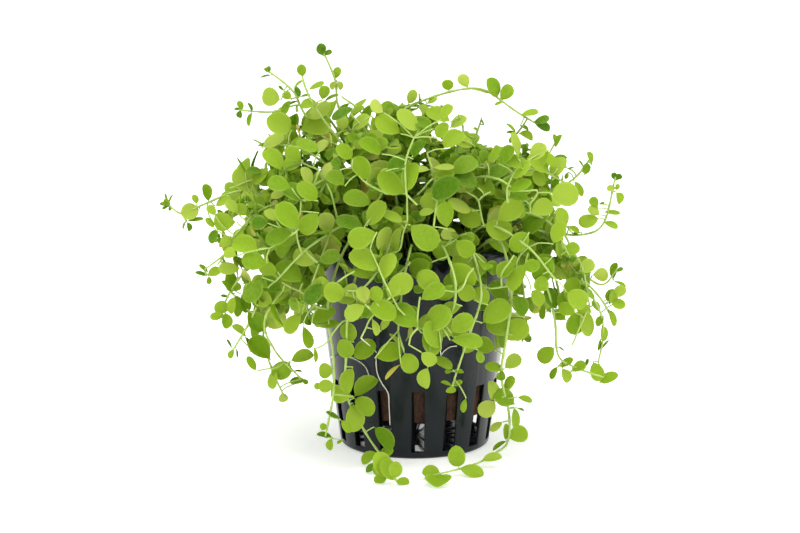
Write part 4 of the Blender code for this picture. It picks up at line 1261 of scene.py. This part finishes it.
def grow_reaching_twig(growth, owner, here, end, size, chance):
    """Grows a twig that reaches from a node towards a gap, if it has room, and says whether it did."""
    span = (end - here).length
    if span > LONGEST_REACH:
        return False
    foot = end - (end - here).normalized() * min(span * 0.6, size * 0.5)
    bow = open_air(here) * (foot - here).length * 0.25
    count = max(3, round((foot - here).length / STEM_STEP))
    line = [here.lerp(foot, k / count) + bow * math.sin(math.pi * k / count) for k in range(count + 1)]
    trial = Growth()
    add_tube(trial, line, [THICKNESSES[2]] * len(line), 6)
    if hides_shown(line) or not is_clear(trial.points, [f for f in trial.faces if min(f) > 12], owner):
        return False
    leafed = Growth()
    way = (end - foot).normalized()
    if not grow_leaf(leafed, owner, foot, way, size, 0.9, chance):
        return False
    grow_leaf(leafed, owner, foot, (way.cross(open_air(here)) * chance.choice((1, -1)) + way * 0.3), size, 0.9, chance)
    note_stem(owner, trial.points, trial.faces)
    add_tube(growth, line, [THICKNESSES[2]] * len(line), 6, age=1.0)
    growth.take(leafed)
    if len(line) > 6:
        grow_pair(growth, owner, line[len(line) // 2], (foot - here).normalized(), chance.uniform(0, 90), size, 0.9, chance)
    return True


leaves_in = {}
stems_there = []
covered = set()
nothing_before = {}
nodes_grown = []
for node in ("net_pot", "growing_plug"):
    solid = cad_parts[node].data
    note_stem(node, [v.co.copy() for v in solid.vertices], [tuple(p.vertices) for p in solid.polygons])
lines = {}
for routes in (CROWN_ROUTES, LEFT_ROUTES, RIGHT_ROUTES, FRONT_ROUTES, BACK_ROUTES):
    for name, route in routes.items():
        lines[name] = stem_line(route)
        bare = Growth()
        add_tube(bare, lines[name][2:], [STEM_RADIUS] * (len(lines[name]) - 2), STEM_SIDES)
        note_stem(name, bare.points, bare.faces)
finishes = [fresh_stem(), living_leaf()]
growths = {name: Growth() for name in lines}
carriers = {name: [(place, picture_place(place)) for place in line[2:]] for name, line in lines.items()}
for column, row, across, down, behind in OPEN_GAPS:
    for c in range(math.ceil((column - across / 2) / PATCH - 0.5), math.floor((column + across / 2) / PATCH + 0.5)):
        for r in range(math.ceil((row - down / 2) / PATCH - 0.5), math.floor((row + down / 2) / PATCH + 0.5)):
            nothing_before[c, r] = behind
            covered.add((c, r))
leafy_to = {}
for name, line in lines.items():
    sat_at = [line.index(grow_shown_leaf(leaf, [name])[1]) for leaf in SHOWN_LEAVES.get(name, ())]
    leafy_to[name] = min(sat_at, default=len(line)) / len(line)
for spots in FRONT_TWIGS:
    grow_shown_twig(spots)
for leaf in FRONT_LEAVES:
    grow_shown_leaf(leaf, carriers)
for number, (name, line) in enumerate(lines.items()):
    growth = growths[name]
    grow_stem(growth, name, line, 0, 1.0, random.Random(number), leafy_to[name])
for number, sizes in enumerate(FILLING_SIZES):
    fill_thicket(sizes, random.Random(number))
for name, growth in growths.items():
    shoot = growth.finish_piece("leafy_" + name, finishes)
    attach(shoot, "root")
    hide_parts(name)

# Loose roots
# A few fine white roots that grew out of the stems above the lip and hang down outside the pot. They are bare, smooth
# and no thicker than a thread.
ROOT_RADIUS = 0.16 * MM
ROOT_OFF_WALL = 0.45 * MM
ROOT_SIDES = 6
ROOT_LINES = [
    [(376, 352), (376, 361), (377, 372), (381, 382), (388, 393), (389, 405), (390, 425)],
    [(332, 357), (345, 355), (352, 358), (360, 362), (366, 368), (369, 376)],
    [(441, 355), (443, 352), (450, 347), (457, 346)],
]


def on_pot(column, row):
    """The place just off the front of the pot's wall that the camera sees at a spot of the photograph."""
    near, far = -(MOUTH_RADIUS + LIP_WIDTH), 0
    for _ in range(40):
        depth = (near + far) / 2
        place = seen_at(column, row, depth)
        if math.hypot(place.x, place.y) > outer_radius(place.z) + ROOT_OFF_WALL:
            near = depth
        else:
            far = depth
    return place


def white_root():
    """A live water root: off-white, moist and a little see-through."""
    cell_size = 0.9 * MM
    material, place = new_material("moist_white_root")
    cells = add_node(material, "ShaderNodeTexNoise", {"Vector": place, "Scale": 1 / cell_size, "Detail": 2})
    colour = add_node(material, "ShaderNodeMix", {
        "Factor": cells.outputs["Fac"], "A": linear("#cfcdb8"), "B": linear("#f1efe2")}, data_type="RGBA")
    shader = add_node(material, "ShaderNodeBsdfPrincipled", {
        "Base Color": colour.outputs[2], "Roughness": 0.4, "IOR": 1.4, "Subsurface Weight": 0.3,
        "Subsurface Radius": (1.0, 1.0, 0.8), "Subsurface Scale": 0.3 * MM})
    add_node(material, "ShaderNodeOutputMaterial", {"Surface": shader.outputs[0]})
    return material


roots = Growth()
for spots in ROOT_LINES:
    hanging = [on_pot(*spot) for spot in spots]
    _, held = best_carrier(Vector(spots[0]), carriers)
    line = smooth_line([held, *hanging], STEM_STEP)
    add_tube(roots, line, [ROOT_RADIUS * (1 - 0.4 * k / len(line)) for k in range(len(line))], ROOT_SIDES)
loose_roots = roots.finish_piece("loose_roots", [white_root()])
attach(loose_roots, "root")

# Studio
# A plain white table, lit a little from below, under soft white light from all round that is stronger from above. It
# leaves only a faint shadow where the pot and the trailing stems touch down.
TABLE_SIZE = 6.0
TABLE_GLOW = 0.34
WORLD_LIGHT = 0.9
PANEL_SIZE = 1.2
PANELS = {
    "overhead_panel": ((0.1, -0.1, 1.3), 14),
    "left_panel": ((-1.3, -0.7, 0.8), 7),
    "right_panel": ((1.3, -0.5, 0.7), 6),
}

table_mesh = bpy.data.meshes.new("table")
reach = TABLE_SIZE / 2
table_mesh.from_pydata([(-reach, -reach, 0), (reach, -reach, 0), (reach, reach, 0), (-reach, reach, 0)], [],
                       [(0, 1, 2, 3)])
table = bpy.data.objects.new("table", table_mesh)
bpy.context.scene.collection.objects.link(table)
paper, _ = new_material("white_paper")
sheen = add_node(paper, "ShaderNodeBsdfPrincipled", {"Base Color": linear("#f4f4f2"), "Roughness": 0.8,
                                                 "Emission Color": (1, 1, 1, 1), "Emission Strength": TABLE_GLOW})
add_node(paper, "ShaderNodeOutputMaterial", {"Surface": sheen.outputs[0]})
table_mesh.materials.append(paper)

world = bpy.data.worlds.new("white_surround")
world.use_nodes = True
world.node_tree.nodes["Background"].inputs["Color"].default_value = (1, 1, 1, 1)
world.node_tree.nodes["Background"].inputs["Strength"].default_value = WORLD_LIGHT
bpy.context.scene.world = world
for name, (place, power) in PANELS.items():
    panel = bpy.data.lights.new(name, "AREA")
    panel.size = PANEL_SIZE
    panel.energy = power
    lamp = bpy.data.objects.new(name, panel)
    lamp.location = place
    lamp.rotation_euler = (Vector((0, 0, 0.05)) - Vector(place)).to_track_quat("-Z", "Y").to_euler()
    bpy.context.scene.collection.objects.link(lamp)
bpy.context.scene.view_settings.view_transform = "Standard"
